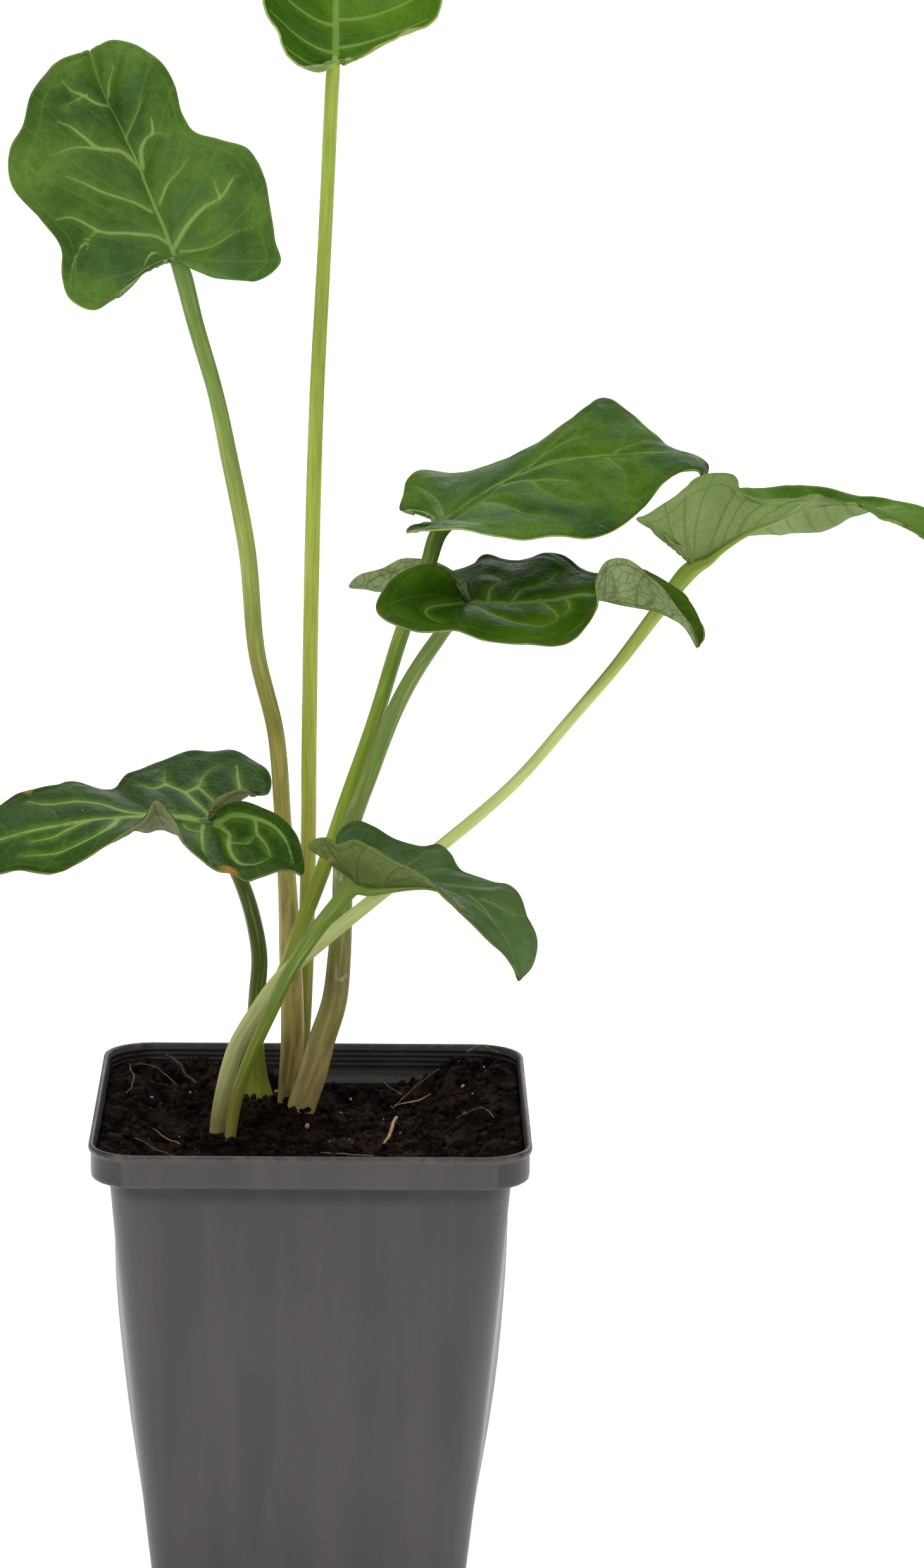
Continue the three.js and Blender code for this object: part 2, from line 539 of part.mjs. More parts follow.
// The blade's middle surface as rows of points from the left margin to the right one.
function bladeRows(leaf) {
  const face = new THREE.Vector3(...leaf.face).normalize();
  const tip = leaf.midrib[leaf.midrib.length - 1];
  const midrib = new THREE.CatmullRomCurve3(leaf.midrib.map((p) => new THREE.Vector3(...p)));
  const sides = [
    { at: margin(leaf.left, tip), lobe: leaf.leftLobe, last: leaf.left.length },
    { at: margin(leaf.right, tip), lobe: leaf.rightLobe, last: leaf.right.length },
  ];
  const rows = [];
  for (let i = 0; i < LOBE_ROWS + BLADE_ROWS; i += 1) {
    const onward = Math.max(0, (i - LOBE_ROWS) / BLADE_ROWS);
    const round = Math.min(1, i / LOBE_ROWS);
    const spine = midrib.getPoint(onward ** 1.1);
    const [left, right] = sides.map(({ at, lobe, last }) => {
      const edge = at(i < LOBE_ROWS ? round * lobe : lobe + onward * (last - lobe));
      const half = [];
      for (let k = 1; k <= HALF_COLUMNS; k += 1) {
        const t = k / HALF_COLUMNS;
        const point = spine.clone().lerp(edge.point, t);
        half.push(point.addScaledVector(face, edge.swell * 4 * t * (1 - t)));
      }
      return half;
    });
    rows.push({ spine: i <= LOBE_ROWS ? midrib.getPoint(0) : spine, left, right });
  }
  return { rows, tip: new THREE.Vector3(...tip) };
}

// Closes the middle surface into a solid sheet of the given thickness.
function bladeSolid(leaf, thickness) {
  const { rows, tip } = bladeRows(leaf);
  const points = [rows[0].spine, tip];
  const grid = rows.map((row, i) => {
    const add = (point) => points.push(point) - 1;
    const left = row.left.map(add).reverse();
    const middle = i <= LOBE_ROWS ? 0 : add(row.spine);
    return [...left, middle, ...row.right.map(add)];
  });
  grid.push(grid[0].map(() => 1));
  const sheet = [];
  const face = (a, b, c) => {
    if (a !== b && b !== c && c !== a) sheet.push([a, b, c]);
  };
  for (let i = 0; i < grid.length - 1; i += 1) {
    for (let k = 0; k < grid[i].length - 1; k += 1) {
      const [a, b, c, d] = [grid[i][k], grid[i][k + 1], grid[i + 1][k + 1], grid[i + 1][k]];
      face(a, b, c);
      face(a, c, d);
    }
  }
  const normals = points.map(() => new THREE.Vector3());
  for (const [a, b, c] of sheet) {
    const along = points[b].clone().sub(points[a]);
    const across = points[c].clone().sub(points[a]);
    const normal = along.cross(across);
    for (const corner of [a, b, c]) normals[corner].add(normal);
  }
  for (const normal of normals) normal.normalize();
  const offset = (side) => points.map((point, i) => (
    point.clone().addScaledVector(normals[i], (side * thickness) / 2).toArray()
  ));
  const count = points.length;
  const triangles = [];
  const edges = new Map();
  for (const [a, b, c] of sheet) {
    triangles.push([a, b, c], [c + count, b + count, a + count]);
    for (const [from, to] of [[a, b], [b, c], [c, a]]) edges.set(`${from} ${to}`, [from, to]);
  }
  for (const [from, to] of edges.values()) {
    if (edges.has(`${to} ${from}`)) continue;
    triangles.push([to, from, from + count], [to, from + count, to + count]);
  }
  return geometryOf([...offset(1), ...offset(-1)], triangles);
}

function buildLeaf(leaf) {
  const blade = bladeSolid(leaf, BLADE_THICKNESS);
  const keepOut = toSolid(bladeSolid(leaf, BLADE_THICKNESS + 2 * BLADE_GAP));
  const tube = taperedTube(stalkPath(leaf, STALK_DEPTH, 0), STALK_SIDES, stalkSteps(leaf));
  const stalk = largestPiece(toSolid(tube).subtract(keepOut));
  return [
    namedMesh(`petiole_${leaf.name}`, toGeometry(stalk), leaf.stalkFinish),
    namedMesh(`blade_${leaf.name}`, blade, leaf.finish),
  ];
}

// ---- debris ----

function buildStraw({ name, finish, run, radius }) {
  const lift = radius + DEBRIS_LIFT;
  const path = run.map(([x, y]) => [x, y, soilTop(x, y) + lift, radius]);
  return namedMesh(name, taperedTube(path, 6, 6), finish);
}

function buildGrain({ name, finish, at: [x, y], radius }) {
  const grain = new THREE.IcosahedronGeometry(radius, 0);
  grain.deleteAttribute('normal');
  grain.deleteAttribute('uv');
  const mesh = namedMesh(name, mergeVertices(grain), finish);
  mesh.position.set(x, y, soilTop(x, y) + radius + DEBRIS_LIFT);
  mesh.rotation.set(0.4, 0.7, x);
  return mesh;
}

const arum = new THREE.Group();
arum.name = 'potted_italian_arum';
arum.add(namedMesh('nursery_pot', buildPot(), 'pot'));
arum.add(namedMesh('soil', buildSoil(LEAVES.map(stalkPocket)), 'soil'));
for (const leaf of LEAVES) arum.add(...buildLeaf(leaf));
for (const straw of STRAWS) arum.add(buildStraw(straw));
for (const grain of GRAINS) arum.add(buildGrain(grain));

export default arum;
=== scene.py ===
"""Potted Italian arum (Arum italicum) in a square nursery pot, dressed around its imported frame.

The tables of shapes are in millimetres, in the frame's axes: +Z up, +X to the right of the pot
and -Y its front, with the origin in the middle of the pot's base. Meshes are in metres.
"""

import logging
import math
import random
from collections.abc import Iterator, Sequence
from contextlib import contextmanager
from dataclasses import dataclass
from enum import Enum

import bpy
import numpy as np
from mathutils import Matrix, Vector, noise


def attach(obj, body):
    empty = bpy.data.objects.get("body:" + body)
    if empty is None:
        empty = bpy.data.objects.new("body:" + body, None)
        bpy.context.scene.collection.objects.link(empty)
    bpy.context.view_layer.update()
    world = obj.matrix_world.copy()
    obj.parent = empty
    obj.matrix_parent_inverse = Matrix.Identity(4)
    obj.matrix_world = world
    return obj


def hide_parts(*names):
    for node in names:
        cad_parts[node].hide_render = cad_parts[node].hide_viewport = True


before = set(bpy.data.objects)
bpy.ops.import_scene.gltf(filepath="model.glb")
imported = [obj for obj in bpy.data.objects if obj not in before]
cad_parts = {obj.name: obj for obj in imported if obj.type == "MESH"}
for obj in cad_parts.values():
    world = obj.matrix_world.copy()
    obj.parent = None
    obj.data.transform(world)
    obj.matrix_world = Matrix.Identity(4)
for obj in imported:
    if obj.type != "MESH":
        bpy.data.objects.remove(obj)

Point = tuple[float, ...]
Colour = tuple[float, float, float]
Socket = bpy.types.NodeSocket
Source = Socket | float | Colour | None
Piece = bpy.types.Object

MM = 0.001
LOG = logging.getLogger("arum")


# ---- working on meshes ----


def clear_selection() -> None:
    """Leaves no object selected."""
    bpy.ops.object.select_all(action="DESELECT")


@contextmanager
def edit_mode(piece: Piece) -> Iterator[None]:
    """Opens one piece in edit mode with nothing selected, and closes it again.

    Args:
        piece: the mesh object to edit.

    Returns:
        A context that lasts while the piece is open.
    """
    clear_selection()
    bpy.context.view_layer.objects.active = piece
    piece.select_set(True)
    bpy.ops.object.mode_set(mode="EDIT")
    bpy.ops.mesh.select_all(action="DESELECT")
    yield
    bpy.ops.object.mode_set(mode="OBJECT")


def start_grid(name: str, columns: int, rows: int) -> Piece:
    """Adds a flat unit grid whose vertices run row by row.

    Args:
        name: the piece's name.
        columns: faces across.
        rows: faces along.

    Returns:
        The new piece.
    """
    clear_selection()
    bpy.ops.mesh.primitive_grid_add(x_subdivisions=columns, y_subdivisions=rows, size=1)
    piece = bpy.context.object
    piece.name = piece.data.name = name
    return piece


def place_vertices(piece: Piece, points: np.ndarray) -> None:
    """Puts a piece's vertices at the given points.

    Args:
        piece: the piece to shape.
        points: one row of x, y, z in millimetres for each vertex.
    """
    piece.data.vertices.foreach_set("co", (points * MM).astype(np.float32).ravel())
    piece.data.update()


def set_attribute(piece: Piece, name: str, values: np.ndarray) -> None:
    """Stores a number or a vector on each vertex.

    Args:
        piece: the piece that gets the attribute.
        name: the attribute's name.
        values: one number, or one row of three, for each vertex.
    """
    is_number = values.ndim == 1
    kind, key = ("FLOAT", "value") if is_number else ("FLOAT_VECTOR", "vector")
    attribute = piece.data.attributes.new(name, kind, "POINT")
    attribute.data.foreach_set(key, values.astype(np.float32).ravel())


def weld(piece: Piece, close_ends: bool = False) -> None:
    """Merges vertices that share a place, and closes open ends if asked.

    Args:
        piece: the piece to weld.
        close_ends: whether each open round gets a face.
    """
    with edit_mode(piece):
        bpy.ops.mesh.select_all(action="SELECT")
        bpy.ops.mesh.remove_doubles(threshold=0.004 * MM)
        if close_ends:
            bpy.ops.mesh.select_all(action="DESELECT")
            bpy.ops.mesh.select_mode(type="EDGE")
            bpy.ops.mesh.select_non_manifold()
            bpy.ops.mesh.fill_holes(sides=0)
            bpy.ops.mesh.select_mode(type="VERT")


def apply_modifier(piece: Piece, kind: str, **settings: object) -> None:
    """Adds a modifier and applies it.

    Args:
        piece: the piece to finish.
        kind: the modifier's type.
        **settings: the modifier's own settings.
    """
    clear_selection()
    bpy.context.view_layer.objects.active = piece
    piece.select_set(True)
    modifier = piece.modifiers.new(kind.title(), kind)
    for key, value in settings.items():
        setattr(modifier, key, value)
    bpy.ops.object.modifier_apply(modifier=modifier.name)


def shade(piece: Piece, degrees: float = 180.0) -> None:
    """Smooths the shading across edges up to an angle.

    Args:
        piece: the piece to shade.
        degrees: edges sharper than this stay hard.
    """
    clear_selection()
    bpy.context.view_layer.objects.active = piece
    piece.select_set(True)
    bpy.ops.object.shade_smooth_by_angle(angle=math.radians(degrees))


def join(pieces: Sequence[Piece], name: str) -> Piece:
    """Joins pieces into one, with its place in its mesh.

    Args:
        pieces: the pieces to join.
        name: the joined piece's name.

    Returns:
        The joined piece.
    """
    clear_selection()
    for piece in pieces:
        piece.select_set(True)
    bpy.context.view_layer.objects.active = pieces[0]
    bpy.ops.object.transform_apply(location=True, rotation=True, scale=True)
    bpy.ops.object.join()
    joined = bpy.context.object
    joined.name = joined.data.name = name
    return joined


def dress(piece: Piece, *materials: bpy.types.Material) -> None:
    """Gives a piece its materials, in the order of its faces' material numbers."""
    for material in materials:
        piece.data.materials.append(material)


def mount(piece: Piece, slot: "Slot", nodes: Sequence[str]) -> None:
    """Ties a finished piece to the frame.

    Args:
        piece: the finished piece.
        slot: the record's material slot that its finish stands for, which is only logged.
        nodes: the frame's nodes that it stands for.
    """
    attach(piece, "root")
    if nodes:
        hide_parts(*nodes)
    LOG.info("%s: %d faces, slot %s", piece.name, len(piece.data.polygons), slot.value)


# ---- curves ----


def along_curve(points: np.ndarray, at: np.ndarray) -> np.ndarray:
    """Places on a centripetal Catmull-Rom curve through the points.

    Args:
        points: the curve's points, one row each, with x, y, z first.
        at: places as fractional row numbers.

    Returns:
        One row of x, y, z for each place.
    """
    path = np.asarray(points, float)[:, :3]
    padded = np.vstack([2 * path[0] - path[1], path, 2 * path[-1] - path[-2]])
    low = np.clip(np.floor(at).astype(int), 0, len(path) - 2)
    w = (np.asarray(at, float) - low)[..., None]
    p0, p1, p2, p3 = (padded[low + k] for k in range(4))
    gap = [
        np.sqrt(np.linalg.norm(b - a, axis=-1, keepdims=True)) + 1e-6
        for a, b in ((p0, p1), (p1, p2), (p2, p3))
    ]
    leave = (p1 - p0) / gap[0] - (p2 - p0) / (gap[0] + gap[1]) + (p2 - p1) / gap[1]
    arrive = (p2 - p1) / gap[1] - (p3 - p1) / (gap[1] + gap[2]) + (p3 - p2) / gap[2]
    leave, arrive = leave * gap[1], arrive * gap[1]
    square = -3 * p1 + 3 * p2 - 2 * leave - arrive
    cube = 2 * p1 - 2 * p2 + leave + arrive
    return p1 + leave * w + square * w**2 + cube * w**3


def between(values: np.ndarray, at: np.ndarray) -> np.ndarray:
    """Values read off straight lines between the listed ones.

    Args:
        values: the listed values.
        at: places as fractional positions in the list.

    Returns:
        One value for each place.
    """
    return np.interp(at, np.arange(len(values)), values)


def nearest(points: np.ndarray, targets: np.ndarray) -> tuple[np.ndarray, np.ndarray]:
    """Distance from each point to the nearest target.

    Args:
        points: rows of x, y, z.
        targets: rows of x, y, z.

    Returns:
        The distances, and the number of the nearest target for each point.
    """
    square = (
        (points**2).sum(1)[:, None] + (targets**2).sum(1)[None, :] - 2 * points @ targets.T
    )
    index = square.argmin(1)
    return np.linalg.norm(points - targets[index], axis=1), index


def unit(vectors: np.ndarray) -> np.ndarray:
    """Vectors at length one, and nought where they have no length."""
    length = np.linalg.norm(vectors, axis=-1, keepdims=True)
    return vectors / np.maximum(length, 1e-9)


def soft_noise(points: np.ndarray, size: float, offset: float = 0.0) -> np.ndarray:
    """Smooth noise between about -1 and 1.

    Args:
        points: rows of x, y, z in millimetres.
        size: the width of a feature in millimetres.
        offset: where in the noise to read, to keep uses apart.

    Returns:
        One number for each point.
    """
    shift = Vector((offset, -offset, 0.5 * offset))
    return np.array([noise.noise(Vector(point) / size + shift) for point in points])


# ---- materials ----


class Board:
    """A material's nodes, with short calls for the ones that the finishes share."""

    def __init__(self, name: str) -> None:
        """Starts a material with a principled shader.

        Args:
            name: the material's name.
        """
        self.material = bpy.data.materials.new(name)
        self.material.use_nodes = True
        self.tree = self.material.node_tree
        self.shader = self.tree.nodes["Principled BSDF"]

    def node(self, kind: str, *sources: Source, **settings: object) -> bpy.types.Node:
        """Adds a node and feeds its inputs in order.

        Args:
            kind: the node's type without its ShaderNode prefix.
            *sources: a socket to link, a value to set, or None to leave an input alone.
            **settings: the node's own settings.

        Returns:
            The new node.
        """
        node = self.tree.nodes.new("ShaderNode" + kind)
        for key, value in settings.items():
            setattr(node, key, value)
        for socket, source in zip(node.inputs, sources):
            self.feed(socket, source)
        return node

    def feed(self, socket: Socket, source: Source) -> None:
        """Links a socket to an input, or sets its value.

        Args:
            socket: the input.
            source: a socket to link, a value to set, or None to leave the input alone.
        """
        if isinstance(source, bpy.types.NodeSocket):
            self.tree.links.new(source, socket)
        elif source is not None:
            is_colour = isinstance(source, tuple) and socket.type == "RGBA"
            socket.default_value = (*source, 1.0) if is_colour else source

    def place(self) -> Socket:
        """The piece's own coordinates, in metres."""
        return self.node("TexCoord").outputs["Object"]

    def stored(self, name: str, vector: bool = False) -> Socket:
        """A number or vector stored on the vertices."""
        return self.node("Attribute", attribute_name=name).outputs["Vector" if vector else "Fac"]

    def scaled(self, vector: Socket, scale: Point) -> Socket:
        """Coordinates stretched by a factor on each axis."""
        return self.node("Mapping", vector, None, None, scale).outputs[0]

    def noise(self, vector: Socket, size: float, detail: float = 3.0, warp: float = 0.0) -> Socket:
        """Noise, from 0 to 1.

        Args:
            vector: the coordinates it is read at.
            size: the width of its features in millimetres.
            detail: how many finer layers it has.
            warp: how far it is bent by itself.

        Returns:
            The noise.
        """
        made = self.node("TexNoise")
        for key, source in (("Vector", vector), ("Scale", 1000.0 / size), ("Detail", detail),
                            ("Distortion", warp)):
            self.feed(made.inputs[key], source)
        return made.outputs["Fac"]

    def cells(self, vector: Socket, size: float, feature: str) -> Socket:
        """A pattern of cells.

        Args:
            vector: the coordinates it is read at.
            size: the width of the cells in millimetres.
            feature: what is measured, such as F1 or DISTANCE_TO_EDGE.

        Returns:
            The distance that is measured.
        """
        made = self.node("TexVoronoi", feature=feature)
        self.feed(made.inputs["Vector"], vector)
        self.feed(made.inputs["Scale"], 1000.0 / size)
        return made.outputs["Distance"]

    def step(self, value: Socket, start: float, end: float, low: float = 0.0,
             high: float = 1.0) -> Socket:
        """A value eased from low at start to high at end."""
        made = self.node("MapRange", value, start, end, low, high, interpolation_type="SMOOTHSTEP")
        return made.outputs[0]

    def sum(self, kind: str, a: Socket | float, b: Socket | float) -> Socket:
        """Arithmetic on two values, such as ADD or MULTIPLY."""
        return self.node("Math", a, b, operation=kind).outputs[0]

    def part(self, vector: Socket, axis: str) -> Socket:
        """One axis of a vector."""
        return self.node("SeparateXYZ", vector).outputs[axis]

    def mix(self, share: Socket | float, first: Socket | Colour,
            second: Socket | Colour) -> Socket:
        """A blend of two colours.

        Args:
            share: the second colour's share, from 0 to 1.
            first: the first colour.
            second: the second colour.

        Returns:
            The blended colour.
        """
        made = self.node("Mix", data_type="RGBA")
        self.feed(made.inputs["Factor"], share)
        self.feed(made.inputs[6], first)
        self.feed(made.inputs[7], second)
        return made.outputs[2]

    def ramp(self, value: Socket, stops: Sequence[tuple[float, Colour]]) -> Socket:
        """A colour read off a ramp.

        Args:
            value: the place on the ramp, from 0 to 1.
            stops: the place and colour of each stop, in rising order.

        Returns:
            The colour.
        """
        made = self.node("ValToRGB", value)
        elements = made.color_ramp.elements
        for number, (place, colour) in enumerate(stops):
            element = elements[number] if number < 2 else elements.new(place)
            element.position = place
            element.color = (*colour, 1.0)
        return made.outputs[0]

    def done(self, colour: Socket, roughness: Socket | float, height: Socket | None = None,
             depth: float = 0.1, **fixed: float) -> bpy.types.Material:
        """Wires the shader and returns the material.

        Args:
            colour: the base colour.
            roughness: the roughness.
            height: the relief, from 0 to 1.
            depth: the relief's depth in millimetres.
            **fixed: values of the shader's other inputs, with _ for each space.

        Returns:
            The finished material.
        """
        self.feed(self.shader.inputs["Base Color"], colour)
        self.feed(self.shader.inputs["Roughness"], roughness)
        if height is not None:
            bump = self.node("Bump")
            self.feed(bump.inputs["Distance"], depth * MM)
            self.feed(bump.inputs["Height"], height)
            self.feed(self.shader.inputs["Normal"], bump.outputs[0])
        for key, value in fixed.items():
            self.shader.inputs[key.replace("_", " ")].default_value = value
        return self.material


# ---- finishes ----


class Slot(Enum):
    """The record's material slots."""

    POT = "pot_plastic"
    PEAT = "peat"
    LEAF = "leaf"
    DARK_LEAF = "dark_leaf"
    STALK = "stalk"
    PALE_STALK = "pale_stalk"
    STRAW = "straw"
    TWIG = "twig"
    PERLITE = "perlite"
    PEBBLE = "pebble"


@dataclass(frozen=True)
class LeafFinish:
    """The two faces of a blade: a green upper one with pale veins, and a pale matt lower one."""

    name: str
    deep: Colour
    fresh: Colour
    vein: Colour
    margin: Colour
    under: Colour
    under_fresh: Colour
    under_vein: Colour
    keel: Colour
    # Painted sheen: a pale bluish colour and its share, standing in for light reflected off the
    # glossy upper face.
    painted_sheen: Colour = (0.09, 0.13, 0.08)
    painted_sheen_share: float = 0.25
    halo: Colour = (0.11, 0.2, 0.03)
    halo_share: float = 0.3
    speck_share: float = 0.2
    net_strength: float = 0.14
    under_net: float = 0.35
    vein_strength: float = 0.75
    speck: Colour = (0.4, 0.42, 0.3)
    under_speck: Colour = (0.03, 0.05, 0.015)
    scar: Colour = (0.27, 0.17, 0.045)
    scar_heart: Colour = (0.42, 0.17, 0.035)

    def upper(self) -> bpy.types.Material:
        """Makes the green face, with veins, a fine net, painted sheen, specks and scars.

        Returns:
            The upper material.
        """
        board = Board(f"{self.name}_upper")
        place = board.place()
        broad = board.noise(place, 22.0, 3.0, 0.4)
        patchy = board.noise(place, 6.0, 4.0, 0.8)
        colour = board.mix(board.step(broad, 0.36, 0.66), self.deep, self.fresh)
        colour = board.mix(board.step(patchy, 0.5, 0.72, 0.0, 0.45), colour, self.fresh)
        mottle = board.noise(place, 1.4, 4.0, 0.6)
        colour = board.mix(board.step(mottle, 0.42, 0.7, 0.0, 0.4), colour, self.deep)
        vein = board.stored("vein")
        inner = board.step(board.stored("reach"), 0.93, 0.55)
        # Painted sheen: pale bluish patches between the veins and away from the margin, standing in
        # for reflected light.
        painted_sheen = board.sum("MULTIPLY", board.step(board.noise(place, 13.0, 4.0, 1.0), 0.46, 0.66),
                          board.step(vein, 0.2, 1.6, 0.0, self.painted_sheen_share))
        colour = board.mix(board.sum("MULTIPLY", painted_sheen, inner), colour, self.painted_sheen)
        ragged = board.sum("ADD", vein,
                           board.step(board.noise(place, 2.4, 3.0), 0.2, 0.8, -0.5, 0.5))
        halo = board.sum("MULTIPLY", board.step(ragged, 1.9, 0.0, 0.0, self.halo_share), inner)
        colour = board.mix(halo, colour, self.halo)
        net = board.cells(place, 2.3, "DISTANCE_TO_EDGE")
        net_line = board.step(net, 0.07, 0.0, 0.0, self.net_strength)
        colour = board.mix(net_line, colour, self.halo)
        minor = board.step(board.stored("minor"), 0.25, -0.05, 0.0, 0.3 * self.vein_strength)
        colour = board.mix(minor, colour, self.halo)
        colour = board.mix(board.step(vein, 0.2, -0.18, 0.0, self.vein_strength), colour, self.vein)
        edge = board.stored("edge")
        colour = board.mix(board.step(edge, 0.5, 0.1, 0.0, 0.45), colour, self.margin)
        specks = board.step(board.cells(place, 2.9, "F1"), 0.075, 0.04)
        chosen = board.step(board.noise(place, 5.0, 2.0), 0.62 - 0.2 * self.speck_share, 0.7,
                            0.0, min(1.0, 3.0 * self.speck_share))
        colour = board.mix(board.sum("MULTIPLY", specks, chosen), colour, self.speck)
        colour = self.scarred(board, place, colour)
        grain = board.noise(place, 0.55, 3.0)
        height = board.sum("ADD", board.step(net, 0.0, 0.16, 0.0, 0.5),
                           board.sum("MULTIPLY", grain, 0.5))
        gloss = board.step(board.noise(place, 4.0, 3.0), 0.3, 0.7, 0.36, 0.5)
        return board.done(colour, gloss, height, 0.1, Specular_IOR_Level=0.06)

    def lower(self) -> bpy.types.Material:
        """Makes the pale face, matt, with a darker net and raised veins.

        Returns:
            The lower material.
        """
        board = Board(f"{self.name}_lower")
        place = board.place()
        colour = board.mix(board.step(board.noise(place, 14.0, 4.0, 0.5), 0.34, 0.68),
                           self.under, self.under_fresh)
        net = board.cells(place, 2.1, "DISTANCE_TO_EDGE")
        colour = board.mix(board.step(net, 0.09, 0.0, 0.0, self.under_net), colour, self.under_vein)
        minor = board.step(board.stored("minor"), 0.22, -0.05, 0.0, 0.6)
        colour = board.mix(minor, colour, self.under_vein)
        vein = board.stored("vein")
        colour = board.mix(board.step(vein, 0.45, -0.1, 0.0, 0.6), colour, self.under_vein)
        colour = board.mix(board.step(vein, -0.12, -0.4, 0.0, 0.8), colour, self.keel)
        edge = board.stored("edge")
        colour = board.mix(board.step(edge, 0.5, 0.1, 0.0, 0.25), colour, self.keel)
        specks = board.sum("MULTIPLY", board.step(board.cells(place, 3.3, "F1"), 0.11, 0.05),
                           board.step(board.noise(place, 7.0, 2.0), 0.52, 0.62, 0.0, 0.55))
        colour = board.mix(specks, colour, self.under_speck)
        colour = self.scarred(board, place, colour)
        grain = board.noise(place, 0.6, 3.0)
        height = board.sum("ADD", board.step(net, 0.12, 0.0, 0.0, 0.6),
                           board.sum("MULTIPLY", grain, 0.4))
        gloss = board.step(board.noise(place, 4.0, 3.0), 0.3, 0.7, 0.5, 0.64)
        return board.done(colour, gloss, height, 0.1, Specular_IOR_Level=0.08)

    def scarred(self, board: Board, place: Socket, colour: Socket) -> Socket:
        """Adds dry orange-brown scars where the scar attribute is high.

        Args:
            board: the material's nodes.
            place: the piece's coordinates.
            colour: the colour without scars.

        Returns:
            The colour with scars.
        """
        ragged = board.sum("ADD", board.stored("scar"),
                           board.step(board.noise(place, 1.6, 4.0), 0.2, 0.8, -0.28, 0.28))
        colour = board.mix(board.step(ragged, 0.3, 0.62, 0.0, 0.75), colour, self.scar)
        return board.mix(board.step(ragged, 0.75, 0.95, 0.0, 0.9), colour, self.scar_heart)


@dataclass(frozen=True)
class StalkFinish:
    """A fleshy ribbed stalk whose colour changes from the soil to the blade."""

    name: str
    stops: tuple[tuple[float, Colour], ...]
    streak: Colour = (0.15, 0.105, 0.05)
    streak_share: float = 0.0
    blister_share: float = 0.0
    blister: Colour = (0.4, 0.42, 0.3)
    # Painted shade for the furrows between the ribs, and a painted sheen for the ridges.
    furrow_shade: Colour = (0.03, 0.045, 0.012)
    sheen: Colour = (0.5, 0.55, 0.22)
    soiling: Colour = (0.03, 0.02, 0.014)

    def material(self) -> bpy.types.Material:
        """Makes the stalk's material, which follows its length and its girth.

        Returns:
            The material.
        """
        board = Board(f"{self.name}_stalk")
        place = board.place()
        along = board.stored("along")
        wrap = board.stored("wrap", vector=True)
        wobble = board.step(board.noise(wrap, 7.0, 3.0), 0.2, 0.8, -0.035, 0.035)
        colour = board.ramp(board.sum("ADD", along, wobble), self.stops)
        # Lengthwise streaks: painted shade darkens the colour where the fibres run high, and a
        # painted sheen lightens it where they run low.
        fibres = board.noise(board.scaled(wrap, (1.0, 1.0, 0.07)), 0.75, 4.0)
        colour = board.mix(board.step(fibres, 0.42, 0.7, 0.0, 0.3), colour,
                           board.mix(0.72, colour, self.furrow_shade))
        colour = board.mix(board.step(fibres, 0.5, 0.25, 0.0, 0.3), colour, self.sheen)
        if self.streak_share:
            low = board.step(along, 0.62, 0.2, 0.0, self.streak_share)
            streaks = board.noise(board.scaled(wrap, (1.0, 1.0, 0.16)), 1.9, 4.0, 0.5)
            colour = board.mix(board.sum("MULTIPLY", low, board.step(streaks, 0.46, 0.64)),
                               colour, self.streak)
        if self.blister_share:
            spots = board.noise(board.scaled(wrap, (1.0, 1.0, 0.5)), 3.4, 2.0, 0.6)
            low = board.step(along, 0.75, 0.35, 0.0, self.blister_share)
            colour = board.mix(board.sum("MULTIPLY", low, board.step(spots, 0.58, 0.7)),
                               colour, self.blister)
        darkened = board.sum("MULTIPLY", board.step(along, 0.09, 0.0),
                           board.step(board.noise(place, 1.4, 3.0), 0.4, 0.7, 0.0, 0.7))
        colour = board.mix(darkened, colour, self.soiling)
        height = board.sum("ADD", fibres, board.sum("MULTIPLY", board.noise(place, 0.8, 2.0), 0.3))
        gloss = board.step(fibres, 0.3, 0.7, 0.32, 0.46)
        return board.done(colour, gloss, height, 0.16, Specular_IOR_Level=0.14)


